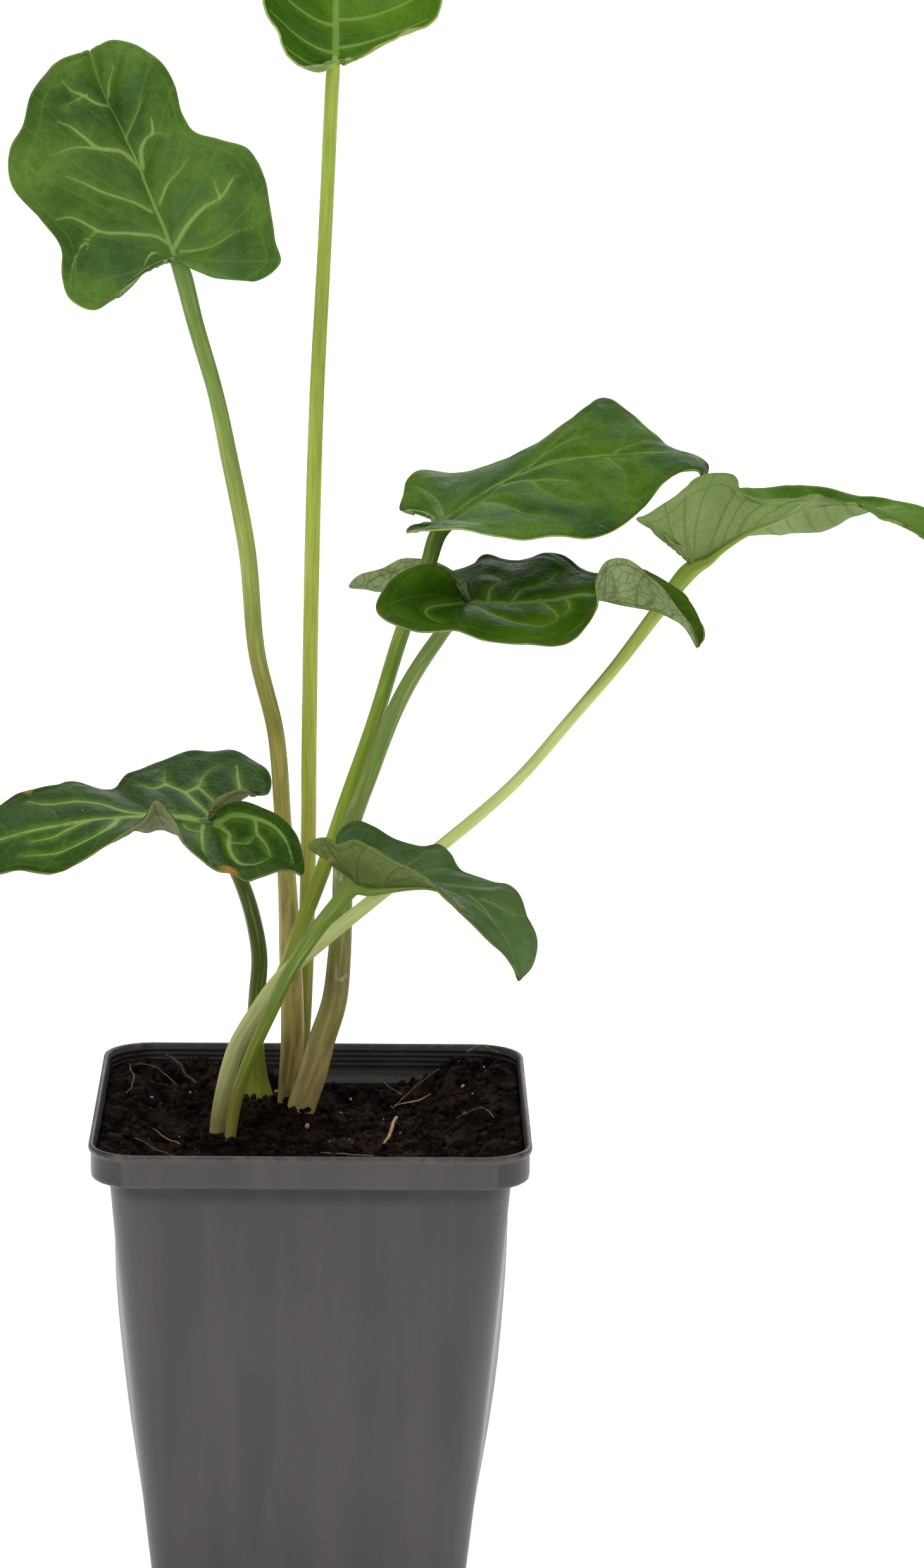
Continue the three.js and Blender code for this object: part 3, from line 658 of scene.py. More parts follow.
@dataclass(frozen=True)
class PotFinish:
    """Satin grey moulded plastic with faint upright bands, soil dust by the rim and painted shade
    inside.
    """

    base: Colour = (0.036, 0.0305, 0.031)
    lighter: Colour = (0.052, 0.0455, 0.0455)
    dust: Colour = (0.1, 0.07, 0.05)
    # The colour of the painted shade on the inner wall above the soil.
    inside: Colour = (0.016, 0.0125, 0.011)
    inner_half: float = 44.05

    def material(self) -> bpy.types.Material:
        """Makes the pot's material.

        Returns:
            The material.
        """
        board = Board("pot_plastic")
        place = board.place()
        bands = board.noise(board.scaled(place, (1.0, 1.0, 0.04)), 9.0, 3.0)
        colour = board.mix(board.step(bands, 0.35, 0.65), self.base, self.lighter)
        cloud = board.noise(place, 30.0, 3.0)
        colour = board.mix(board.step(cloud, 0.4, 0.7, 0.0, 0.35), colour, self.lighter)
        # Painted shade: the inner wall above the soil is darkened, in patches that vary with noise.
        level = board.part(place, "Z")
        out = board.sum("MAXIMUM", board.sum("ABSOLUTE", board.part(place, "X"), 0.0),
                        board.sum("ABSOLUTE", board.part(place, "Y"), 0.0))
        edge = self.inner_half * MM
        within = board.sum("MULTIPLY", board.step(out, edge, edge - 0.4 * MM),
                           board.step(level, 0.088, 0.091))
        darkened = board.sum("MULTIPLY", within,
                           board.step(board.noise(place, 6.0, 4.0), 0.3, 0.6, 0.6, 0.95))
        colour = board.mix(darkened, colour, self.inside)
        rim = board.step(level, 0.0982, 0.0998, 0.0, 1.0)
        dust = board.sum("MULTIPLY", rim,
                         board.step(board.noise(place, 2.2, 5.0), 0.46, 0.66, 0.0, 0.75))
        colour = board.mix(dust, colour, self.dust)
        stray = board.step(board.noise(place, 1.1, 2.0), 0.74, 0.82, 0.0, 0.2)
        colour = board.mix(stray, colour, self.dust)
        grain = board.noise(place, 0.35, 2.0)
        ripple = board.noise(board.scaled(place, (1.0, 1.0, 0.3)), 12.0, 2.0)
        height = board.sum("ADD", board.sum("MULTIPLY", grain, 0.12), ripple)
        gloss = board.step(bands, 0.3, 0.7, 0.36, 0.48)
        return board.done(colour, gloss, height, 0.35, Specular_IOR_Level=0.4)


@dataclass(frozen=True)
class PeatFinish:
    """Dark moist peat with brown fibres and pale flecks."""

    dark: Colour = (0.0034, 0.0019, 0.0014)
    brown: Colour = (0.03, 0.016, 0.01)
    fleck: Colour = (0.11, 0.058, 0.032)
    bit: Colour = (0.2, 0.15, 0.1)

    def material(self) -> bpy.types.Material:
        """Makes the peat's material.

        Returns:
            The material.
        """
        board = Board("peat")
        place = board.place()
        clumps = board.noise(place, 5.0, 6.0, 0.6)
        colour = board.mix(board.step(clumps, 0.42, 0.72), self.dark, self.brown)
        fibres = board.noise(board.scaled(place, (1.0, 0.25, 1.0)), 1.1, 4.0, 2.0)
        colour = board.mix(board.step(fibres, 0.66, 0.78, 0.0, 0.55), colour, self.fleck)
        bits = board.step(board.cells(place, 2.4, "F1"), 0.13, 0.07)
        chosen = board.step(board.noise(place, 3.1, 2.0), 0.56, 0.62, 0.0, 0.7)
        colour = board.mix(board.sum("MULTIPLY", bits, chosen), colour, self.bit)
        height = board.noise(place, 1.3, 6.0, 0.8)
        return board.done(colour, board.step(clumps, 0.3, 0.7, 0.95, 0.7), height, 0.9,
                          Specular_IOR_Level=0.06)


@dataclass(frozen=True)
class LooseFinish:
    """A dull broken material for the bits that lie on the soil."""

    name: str
    first: Colour
    second: Colour
    feature: float = 0.9
    roughness: float = 0.85
    grime: Colour = (0.03, 0.02, 0.013)

    def material(self) -> bpy.types.Material:
        """Makes the material of the loose bits.

        Returns:
            The material.
        """
        board = Board(self.name)
        place = board.place()
        mottle = board.noise(place, self.feature, 4.0, 0.4)
        colour = board.mix(board.step(mottle, 0.35, 0.65), self.first, self.second)
        grime = board.step(board.noise(place, 2.6 * self.feature, 3.0), 0.55, 0.72, 0.0, 0.5)
        colour = board.mix(grime, colour, self.grime)
        gloss = board.step(mottle, 0.3, 0.7, self.roughness, self.roughness - 0.15)
        return board.done(colour, gloss, mottle, 0.2)


@dataclass(frozen=True)
class FloorFinish:
    """The bright seamless ground, with a trace of grain."""

    tint: Colour = (0.96, 0.96, 0.96)
    second_tint: Colour = (0.94, 0.94, 0.94)
    glow: float = 0.6

    def material(self) -> bpy.types.Material:
        """Makes the ground's material.

        Returns:
            The material.
        """
        board = Board("ground")
        cloud = board.noise(board.place(), 900.0, 2.0)
        colour = board.mix(cloud, self.tint, self.second_tint)
        return board.done(colour, 0.9, None, Emission_Color=(1.0, 1.0, 1.0, 1.0),
                          Emission_Strength=self.glow, Specular_IOR_Level=0.2)


# ---- the leaves' shapes ----


@dataclass(frozen=True)
class LeafShape:
    """Where one leaf runs.

    stalk holds x, y, z and radius from the soil up; midrib holds x, y, z from the stalk's end to
    the tip. left and right hold x, y, z and swell round the margin from the cleft by the stalk to
    the tip, as seen on the upper side with the tip ahead. The ribs of the first lobe points start
    at the stalk's end. face is the lean of the upper side, along which swell lifts each rib.
    """

    name: str
    face: Point
    stalk: tuple[Point, ...]
    midrib: tuple[Point, ...]
    left: tuple[Point, ...]
    left_lobe: int
    right: tuple[Point, ...]
    right_lobe: int


LEAVES = (
    LeafShape(
        name="upper_left",
        face=(0, -0.9, 0.4),
        stalk=(
            (-5, 14, 94, 2.5), (-4.3, 14, 109.5, 2.4), (-4.8, 13.5, 127, 2.3),
            (-5.5, 13, 142, 1.95),
            (-6.5, 12, 156.5, 1.8), (-8, 11, 175, 1.8), (-12, 10, 192.5, 1.8), (-14, 9, 214, 1.8),
            (-18, 8, 235, 1.75), (-20.5, 7, 247, 1.6), (-24.5, 6, 261, 1.7),
            (-27.5, 5, 272.5, 1.9),
        ),
        midrib=(
            (-28.5, 4, 274.5), (-31, 7, 280.5), (-33.5, 9, 286), (-36, 11, 292), (-40, 14, 300),
            (-43.5, 17, 306.5), (-46.5, 20, 315),
        ),
        left=(
            (-30.5, 3, 275.5, 0), (-33, 1, 276.5, 0), (-36, -3, 272.5, 1), (-40, -7, 268.5, 1),
            (-44, -10, 266, 1), (-49, -9, 267.5, 1), (-51, -5, 271.5, 1), (-51.5, -2, 277.5, 1),
            (-56, 1, 283, 1), (-61.5, 2, 289.5, 1), (-62, 3, 296, 1), (-59.5, 6, 301, 1),
            (-58, 10, 307, 1), (-53.5, 15, 312.5, 1), (-49.5, 18, 314.5, 0),
        ),
        left_lobe=8,
        right=(
            (-27, 3, 274.5, 0), (-21.5, 0, 273, 0), (-16, -3, 271.5, 1), (-12, -6, 271.5, 1),
            (-9, -7, 273, 1), (-7, -7, 275.5, 1), (-8, -4, 279, 1), (-9, -1, 284, 1),
            (-10.5, 2, 291.5, 1), (-14, 5, 297, 1), (-19.5, 7, 298.5, 1), (-25, 9, 300, 1),
            (-27.5, 11, 303.5, 1), (-29, 13, 309, 1), (-32, 15, 313.5, 1), (-37, 17, 316.5, 1),
            (-42, 18, 317.5, 0),
        ),
        right_lobe=7,
    ),
    LeafShape(
        name="top",
        face=(0, -0.8, 0.6),
        stalk=(
            (-3.5, 20.5, 91.5, 1.8), (-2, 20.5, 115.5, 1.7), (-1.3, 21, 144, 1.65),
            (-1.2, 23, 174.5, 1.65), (-0.8, 25, 210, 1.6), (0, 28, 243, 1.5),
            (1.5, 31, 275.5, 1.45), (3, 34.5, 310.5, 1.5),
        ),
        midrib=(
            (3.5, 34, 312), (3.5, 38, 319.5), (3.5, 44, 328), (4.5, 50, 338), (5, 57, 349.5),
            (6, 64, 361),
        ),
        left=(
            (2, 33, 312, 0), (-0.5, 29, 312, -1), (-3, 25, 312, -2), (-6, 22, 315, -3),
            (-8, 22, 319, -3), (-10.5, 24, 323, -3), (-12, 28, 329, -3), (-11.5, 34, 336, -3),
            (-9.5, 42, 344, -2), (-6, 50, 351.5, -2), (0, 58, 357.5, -1),
        ),
        left_lobe=4,
        right=(
            (5, 33, 311.5, 0), (7.5, 31, 313, 0), (10, 30, 314.5, 0), (13.5, 29, 316.5, -1),
            (17.5, 29, 319, -1), (22, 30, 320, -2), (24.5, 31, 323, -2), (26, 35, 329, -2),
            (25.5, 41, 337, -2), (22, 48, 345.5, -2), (16.5, 55, 353, -1), (11, 60, 358, -1),
        ),
        right_lobe=4,
    ),
    LeafShape(
        name="upper_right",
        face=(0, -0.5, 0.85),
        stalk=(
            (-19.5, 6, 89, 1.7), (-19, 6, 96.5, 1.7), (-16, 5.5, 107, 1.8), (-11, 5, 117, 1.7),
            (-7, 5, 123, 1.7), (-2.5, 5, 135.5, 1.6), (2, 6, 147.5, 1.65), (6.4, 6, 161, 1.65),
            (12.4, 3, 179.5, 1.65), (18, 0, 199, 1.6), (23, -2, 213, 1.6), (25.5, -1, 220, 1.8),
        ),
        midrib=(
            (26, 0, 221.5), (32, 2, 226), (38, 3, 229.5), (43, 4, 231.5), (48, 5, 233),
            (54.5, 5, 234.5), (63, 3, 235.5), (71, 0, 236.5), (77, -3, 236), (79.5, -4, 233.5),
            (78.5, -4, 230),
        ),
        left=(
            (25, 2, 222, 0), (23, 7, 222.5, 0), (20, 14, 222, 0), (17.5, 18, 221, 0),
            (18, 24, 223.5, 0), (19, 28, 226, 0), (21.5, 31, 227.5, 0), (28.5, 30, 227, 1),
            (35, 28, 228.5, 1), (43.5, 26, 232.5, 1), (52.5, 25, 238.5, 1), (58, 24, 243.5, 1),
            (61, 22, 244, 1), (65.5, 17, 241, 1), (69.5, 11, 238.5, 1), (73.5, 5, 236, 0),
            (77.5, 1, 235.5, 0), (80, -1, 234, 0),
        ),
        left_lobe=7,
        right=(
            (25.5, -2, 221.5, 0), (22, -6, 222.5, 0), (19, -11, 222.5, 0), (18.5, -14, 222, 0),
            (21, -18, 223, 0), (26, -22, 224, 1), (31.5, -24, 224, 1), (37, -25, 223, 1),
            (42, -25, 222.5, 1), (49, -24, 223, 1), (56, -22, 222.5, 1), (62, -18, 224.5, 1),
            (66.5, -14, 227.5, 1), (70, -11, 231.5, 0), (74, -9, 234, 0), (77.5, -8, 234, 0),
        ),
        right_lobe=6,
    ),
    LeafShape(
        name="far_right",
        face=(0, -0.3, 0.95),
        stalk=(
            (-20, 0, 91, 1.5), (-19, -0.5, 98.5, 1.7), (-16, -1, 110.5, 1.75),
            (-11.5, -2, 119, 1.7),
            (-6, -3, 127, 1.6), (3, -4, 135.5, 1.5), (16.5, -5, 147, 1.4), (26.5, -6, 155.5, 1.35),
            (41, -8, 169, 1.25), (52, -10, 182.5, 1.2), (61.5, -11.5, 194.5, 1.25),
            (69.5, -13.5, 206, 1.45), (76, -15.5, 215, 1.9),
        ),
        midrib=(
            (76.5, -15, 216), (81, -16, 219.5), (86.5, -17, 223), (92.5, -17, 225.5),
            (99, -15, 228), (105, -12, 228.5), (113.5, -8, 227), (121, -6, 224.5),
            (129, -5, 220.5), (138.5, -4, 213.5),
        ),
        left=(
            (76.5, -13, 216.5, 0), (75, -8, 218.5, 0), (72.5, -3, 220, 0), (71, 2, 221.5, 0),
            (73, 6, 223.5, 0), (77.5, 9, 226, 0), (83.5, 10, 227, -1), (90, 9, 228, -3),
            (95.5, 7, 228.5, -5), (100, 6, 229, -6), (104, 4, 229, -8), (109, 2, 228, -7),
            (113, 0, 227.5, -3), (120.5, -2, 227, 0), (128, -3, 224, 0), (134.5, -4, 219.5, 0),
        ),
        left_lobe=5,
        right=(
            (75.5, -16, 217, 0), (75, -19, 219.5, 0), (71.5, -24, 222, 0), (67.5, -28, 225.5, 0),
            (64, -31, 228, 0), (67.5, -30, 229, 0), (70.5, -29, 231, -1), (73.5, -28, 234, -1),
            (76, -27, 235.5, -1), (80, -26, 236.5, -1), (83.5, -24, 235.5, -1),
            (85, -23, 232.5, -1), (88, -22, 231, -1), (94.5, -20, 230.5, -1), (99, -18, 231, 0),
            (103.5, -15, 229.5, 0), (108, -13, 228.5, 0), (113.5, -11, 226, 0),
            (119.5, -9, 223, 0), (127.5, -7, 218.5, 0), (133.5, -6, 215.5, 0),
        ),
        right_lobe=8,
    ),
    LeafShape(
        name="middle_right",
        face=(0, -0.5, 0.85),
        stalk=(
            (-2.5, 7, 95, 3), (0, 6.5, 103, 2.9), (2, 6, 111, 2.75), (4.5, 5, 119.5, 2.6),
            (5.5, 4, 129.5, 2.4), (6, 3, 140.5, 2.1), (6.2, 2, 151.5, 1.9), (8.3, 1, 159.5, 1.8),
            (11.4, 0, 168.5, 1.75), (17.3, -2, 184.5, 1.75), (24.2, -5, 197, 1.6),
            (30.5, -7, 205, 1.4),
        ),
        midrib=(
            (31.5, -6, 206), (37.5, -9, 206.5), (44, -11, 207), (49.5, -14, 208.5),
            (54.5, -17, 210), (60, -20, 209.5), (63.5, -22, 209), (68, -24, 208.5),
            (71.5, -26, 207.5), (74.5, -27, 205.5), (77, -28, 201.5),
        ),
        left=(
            (31.5, -4, 206.5, 0), (31, 0, 209, 0), (28, 4, 211, 0), (23.5, 7, 212.5, 0),
            (18, 10, 212.5, 0), (14, 12, 210, 0), (9.5, 13, 208.5, 0), (7, 14, 206, 0),
            (10.5, 16, 205, 0), (15.5, 17, 204.5, 0), (21, 18, 205.5, 0), (27, 18, 208, 1),
            (32, 17, 209.5, 1), (35, 16, 212, 1), (39.5, 14, 211.5, 1), (44, 12, 212, 1),
            (48, 9, 214, 1), (52, 4, 213.5, 0), (55, -3, 212.5, 0), (58, -9, 213, 0),
            (62.5, -14, 215, 0), (67, -18, 215, 0), (71, -21, 213.5, 0), (74.5, -23, 211, 0),
            (77, -25, 207.5, 0), (78, -27, 203.5, 0),
        ),
        left_lobe=13,
        right=(
            (31, -7, 206.5, 0), (30, -9, 209.5, 0), (28, -12, 213, 0), (25.5, -14, 215, 1),
            (22, -17, 216, 1), (18.5, -20, 215.5, 1), (14.5, -23, 213, 1), (12.5, -25, 208.5, 1),
            (15, -27, 206, 1), (20, -28, 204.5, 1), (25, -28, 204, 1), (29, -28, 204.5, 1),
            (34.5, -28, 202.5, 1), (42.5, -28, 202, 1), (48.5, -28, 201.5, 1), (52.5, -27, 203, 1),
            (55, -26, 206, 0), (56.5, -25, 210, 0), (56.5, -25, 214.5, 0), (58.5, -26, 218.5, 0),
            (62.5, -27, 219, 0), (66.5, -29, 216.5, 0), (70.5, -31, 212.5, 0), (74.5, -32, 207, 0),
            (76.5, -30, 203, 0),
        ),
        right_lobe=10,
    ),
    LeafShape(
        name="lower_right",
        face=(0, -0.6, 0.8),
        stalk=(
            (-17, -5.5, 92.5, 1.2), (-15.5, -6.5, 102, 1.3), (-12.5, -8, 111.5, 1.3),
            (-8, -9.5, 122, 1.35), (-4.5, -10.5, 130, 1.4), (1, -12, 139, 1.55),
            (4.5, -14, 144, 1.7), (8.5, -16.5, 149, 1.8),
        ),
        midrib=(
            (9.5, -17, 150), (14, -21, 150.5), (19, -24, 151.5), (24, -27, 152), (28.5, -30, 151),
            (33, -32, 149), (37, -34, 145.5), (40, -35, 141), (42, -36, 134.5),
        ),
        left=(
            (9, -15, 150, 0), (7, -12, 152, 0), (6, -10, 154, 0), (5, -9, 156, 0), (5, -8, 158, 0),
            (6.5, -8, 160, 0), (9, -8, 161, 0), (12.5, -9, 160, 0), (17, -10, 157.5, 0),
            (21.5, -11, 156.5, 0), (25.5, -13, 157.5, 0), (28, -15, 156, 0), (30.5, -18, 153, 0),
            (36, -21, 151.5, 0), (39.5, -23, 151.5, 0), (42, -25, 149.5, 0), (43.5, -28, 146, 0),
            (45.5, -31, 141, 0), (44.5, -34, 137, 0),
        ),
        left_lobe=6,
        right=(
            (9, -18, 150.5, 0), (6.5, -21, 154, 0), (5, -24, 156, 0), (1.5, -29, 158.5, 0),
            (-1, -32, 161, 0), (0.5, -32, 162.5, 0), (3, -31, 162.5, 0), (5, -31, 161, 0),
            (8.5, -32, 162.5, 0), (12, -34, 161.5, 0), (16, -36, 159.5, 0), (21.5, -38, 157, 0),
            (24.5, -39, 154.5, 0), (28, -40, 151.5, 0), (32, -41, 148, 0), (36.5, -41, 143, 0),
            (40, -39, 139, 0),
        ),
        right_lobe=8,
    ),
    LeafShape(
        name="lower_left",
        face=(0, -0.4, 0.9),
        stalk=(
            (-11.5, 25, 92, 3.3), (-12.2, 25, 97.5, 2.5), (-12.5, 24.5, 106.5, 1.8),
            (-12, 24, 115.5, 1.75), (-11.5, 23, 124.5, 1.7), (-13, 21, 134, 1.65),
            (-15.5, 18, 142.5, 1.6), (-19, 14.5, 150.5, 1.6), (-21.5, 12.5, 155.5, 1.7),
        ),
        midrib=(
            (-22, 12, 156), (-27, 10, 157.5), (-32.5, 8, 158.5), (-36.5, 6, 158.5),
            (-44, 3, 158.5), (-51.5, 0, 158), (-59, -3, 157), (-67, -6, 155), (-77, -9, 150),
        ),
        left=(
            (-21, 11, 157, 0), (-19, 10, 160, 1), (-15.5, 8, 161.5, 1), (-11, 5, 161, 1),
            (-6.5, 1, 159.5, 1), (-3.5, -3, 157, 1), (-2, -7, 153.5, 1), (-2, -10, 150, 0),
            (-4, -12, 151, 0), (-7, -13, 151.5, 0), (-10.5, -15, 150.5, 0), (-13.5, -15, 149.5, 0),
            (-16.5, -14, 151.5, 0), (-19.5, -14, 152, 0), (-23, -13, 154.5, -1),
            (-27, -12, 158, -3), (-29, -14, 163, -5), (-32, -16, 166.5, -6), (-34, -16, 163.5, -5),
            (-37, -15, 160.5, -2), (-41.5, -14, 157, 0), (-47, -14, 153.5, 0),
            (-52.5, -14, 151, 0), (-60.5, -15, 151.5, 0), (-68.5, -14, 149.5, 0),
            (-73, -12, 149.5, 0),
        ),
        left_lobe=14,
        right=(
            (-21, 14, 157, 0), (-19.5, 19, 158, 3), (-16.5, 25, 158, 4), (-13, 30, 158, 4),
            (-10, 33, 157.5, 2), (-9.5, 36, 159, 1), (-10.5, 38, 161.5, 0), (-13.5, 41, 163.5, 0),
            (-17.5, 42, 165, 0), (-23.5, 41, 165, 0), (-29, 38, 165, 0), (-35, 33, 163.5, 0),
            (-39.5, 29, 162.5, 0), (-42, 25, 160, 0), (-46, 22, 161, 0), (-51.5, 20, 163, 0),
            (-54, 17, 162.5, 0), (-60, 12, 162.5, 0), (-65, 7, 160.5, 0), (-71, 0, 156.5, 0),
        ),
        right_lobe=9,
    ),
)


@dataclass(frozen=True)
class LeafLook:
    """How one leaf is finished.

    scars holds x, y, z, radius and strength of each dry spot, in millimetres. routes holds each
    traced vein: its width at its start and at its end, and its way across the blade as pairs of a
    share out from the midrib, negative on the left, and a share round the blade from the cleft.
    """

    blade: LeafFinish
    stalk: StalkFinish
    slot: Slot
    stalk_slot: Slot
    quilt: float = 0.5
    ripple: float = 0.22
    laterals: int = 6
    vein_width: float = 1.0
    rolling: float = 1.0
    keel_share: float = 0.85
    scars: tuple[Point, ...] = ()
    routes: tuple[tuple[float, float, tuple[Point, ...]], ...] = ()


@dataclass
class Blade:
    """An arrow-shaped blade: puckered between its veins, pale below, and rippled at its margin."""

    shape: LeafShape
    look: LeafLook
    rows: int = 168
    half_columns: int = 42
    lobe_share: float = 0.4
    thickness: float = 0.45
    lobe_veins: tuple[float, ...] = (0.2, 0.46, 0.74)
    forward_bend: float = 0.075
    collector: float = 0.88  # where the vein that follows the margin runs, across each half
    surface_rounds: int = 14
    normal_rounds: int = 3
    seam: int = 3  # the columns on each side of the midrib whose normals may be too short
    beside: int = 8  # the column whose normals mend those
    sound: int = 12  # the column that tells how long a normal should be
    weak_share: float = 0.02
    end_rows: int = 8

    def rib_points(self, side: int, q: np.ndarray, t: np.ndarray) -> np.ndarray:
        """Places on the plain surface before it is puckered.

        Args:
            side: -1 for the left half, 1 for the right.
            q: share of the way round the blade, from the cleft to the tip.
            t: share of the way out, from the midrib to the margin.

        Returns:
            One row of x, y, z for each pair of q and t, in millimetres.
        """
        edge, lobe = (
            (self.shape.left, self.shape.left_lobe) if side < 0
            else (self.shape.right, self.shape.right_lobe)
        )
        margin = np.array([*edge, (*self.shape.midrib[-1], 0.0)])
        last = len(edge)
        bent = np.clip(q + self.forward_bend * np.sin(np.pi * q) * t**1.6, 0.0, 1.0)
        onward = np.clip((bent - self.lobe_share) / (1 - self.lobe_share), 0.0, 1.0)
        round_lobe = np.clip(bent / self.lobe_share, 0.0, 1.0) * lobe
        at = np.where(bent < self.lobe_share, round_lobe, lobe + onward * (last - lobe))
        spine = self.spine(onward**1.1)
        face = unit(np.array(self.shape.face, float))
        swell = between(margin[:, 3], at) * 4 * t * (1 - t)
        out = along_curve(margin, at) - spine
        return spine + out * t[:, None] + swell[:, None] * face

    def spine(self, m: np.ndarray) -> np.ndarray:
        """Places on the midrib, from the stalk's end at 0 to the tip at 1."""
        midrib = np.array(self.shape.midrib, float)
        return along_curve(midrib, np.asarray(m) * (len(midrib) - 1))

    def sheet(self) -> tuple[np.ndarray, np.ndarray]:
        """The eased surface and its upper normals.

        Returns:
            Two arrays of rows by columns by 3, from the left margin to the right one.
        """
        lengthways = np.linspace(0, 1, self.rows + 1)
        sideways = np.linspace(0, 1, self.half_columns + 1)
        q, t = np.meshgrid(lengthways, sideways, indexing="ij")
        halves = [
            self.rib_points(side, q.ravel(), t.ravel()).reshape(*q.shape, 3) for side in (-1, 1)
        ]
        for half in halves:
            free = (np.sin(np.pi * np.clip(t[0], 0, 1)) ** 0.5)[None, :, None]
            for _ in range(self.surface_rounds):
                eased = 0.25 * half[:-2] + 0.5 * half[1:-1] + 0.25 * half[2:]
                half[1:-1] += free * (eased - half[1:-1])
        points = np.concatenate([halves[0][:, :0:-1], halves[1]], axis=1)
        across = np.gradient(points, axis=1)
        ahead = np.gradient(points, axis=0)
        normals = np.cross(across, ahead)
        middle = self.half_columns
        lengths = np.linalg.norm(normals, axis=2)
        for column in range(middle - self.seam, middle + self.seam + 1):
            weak = lengths[:, column] < self.weak_share * lengths[:, middle + self.sound]
            normals[weak, column] = (normals[weak, middle - self.beside]
                                     + normals[weak, middle + self.beside])
        normals = unit(normals)
        for _ in range(self.normal_rounds):
            normals[1:-1] = unit(normals[:-2] + 2 * normals[1:-1] + normals[2:])
            normals[:, 1:-1] = unit(normals[:, :-2] + 2 * normals[:, 1:-1] + normals[:, 2:])
        return points, normals

    def vein_rows(self, side: int) -> list[tuple[int, float]]:
        """The rows that carry a main vein on one half.

        Args:
            side: -1 for the left half, 1 for the right.

        Returns:
            Each row's number, and its vein's width at the midrib in millimetres.
        """
        veins = [(share * self.lobe_share, 1.0) for share in self.lobe_veins]
        count = self.look.laterals
        for k in range(count):
            onward = (k + (0.42 if side < 0 else 0.62)) / (count + 0.25)
            veins.append((self.lobe_share + (1 - self.lobe_share) * onward, 0.85 - 0.35 * onward))
        scale = self.look.vein_width
        return [(round(q * self.rows), width * scale) for q, width in veins]

    def on_sheet(self, points: np.ndarray, route: tuple[Point, ...]) -> np.ndarray:
        """Follows a traced vein across the surface.

        Args:
            points: the surface, rows by columns by 3.
            route: the vein's way, as LeafLook.routes describes it.

        Returns:
            Rows of x, y, z a fraction of a millimetre apart.
        """
        flat = np.array([(out, round_share, 0.0) for out, round_share in route])
        way = along_curve(flat, np.linspace(0, len(flat) - 1, 24 * (len(flat) - 1) + 1))
        column = np.clip((way[:, 0] + 1) * self.half_columns, 0, 2 * self.half_columns - 1e-6)
        row = np.clip(way[:, 1] * self.rows, 0, self.rows - 1e-6)
        c, r = column.astype(int), row.astype(int)
        u, v = (column - c)[:, None], (row - r)[:, None]
        near = points[r, c] * (1 - u) + points[r, c + 1] * u
        far = points[r + 1, c] * (1 - u) + points[r + 1, c + 1] * u
        return near * (1 - v) + far * v

    def vein_distances(self, points: np.ndarray) -> tuple[np.ndarray, np.ndarray, np.ndarray]:
        """Distances on the surface that the veins' colour and relief follow.

        Args:
            points: the surface, rows by columns by 3.

        Returns:
            Distance outside the edge of the nearest main vein, the same for the minor veins, and
            distance to the middle of the nearest main vein, in millimetres.
        """
        rows, columns = points.shape[:2]
        middle = self.half_columns
        outside = np.full((rows, columns), 9.0)
        minor = np.full((rows, columns), 9.0)
        centre = np.full((rows, columns), 9.0)
        first = round(self.lobe_share * self.rows)
        spine = points[first:, middle]
        onward = np.linspace(1, 0, len(spine))
        spine_width = 0.35 + 1.2 * self.look.vein_width * onward**0.8
        t = np.linspace(0, 1, middle + 1)
        for side in (-1, 1):
            near = slice(0, middle + 1) if side < 0 else slice(middle, columns)
            half = points[:, near][:, ::-1] if side < 0 else points[:, near]
            flat = half.reshape(-1, 3)
            veins = self.vein_rows(side)
            targets, widths = [spine], [spine_width]
            for row, width in veins if not self.look.routes else ():
                taper = np.where(t < 0.95, width * (1 - 0.62 * t), -0.5)
                targets.append(half[row])
                widths.append(taper)
            for first_width, last_width, route in self.look.routes:
                traced = self.on_sheet(points, route)
                targets.append(traced)
                widths.append(np.linspace(first_width, last_width, len(traced)))
            distance, index = nearest(flat, np.concatenate(targets))
            width = np.concatenate(widths)[index]
            main = (distance - width / 2).reshape(half.shape[:2])
            core = distance.reshape(half.shape[:2])
            rows_between = [
                round((a + b) / 2) for (a, _), (b, _) in zip(veins[:-1], veins[1:])
            ]
            column = round(self.collector * middle)
            fine = [half[row, 1:] for row in rows_between] + [half[:, column]]
            far, _ = nearest(flat, np.concatenate(fine))
            far = (far - 0.14).reshape(half.shape[:2])
            if side < 0:
                main, core, far = main[:, ::-1], core[:, ::-1], far[:, ::-1]
            outside[:, near] = np.minimum(outside[:, near], main)
            centre[:, near] = np.minimum(centre[:, near], core)
            minor[:, near] = np.minimum(minor[:, near], far)
        return outside, minor, centre

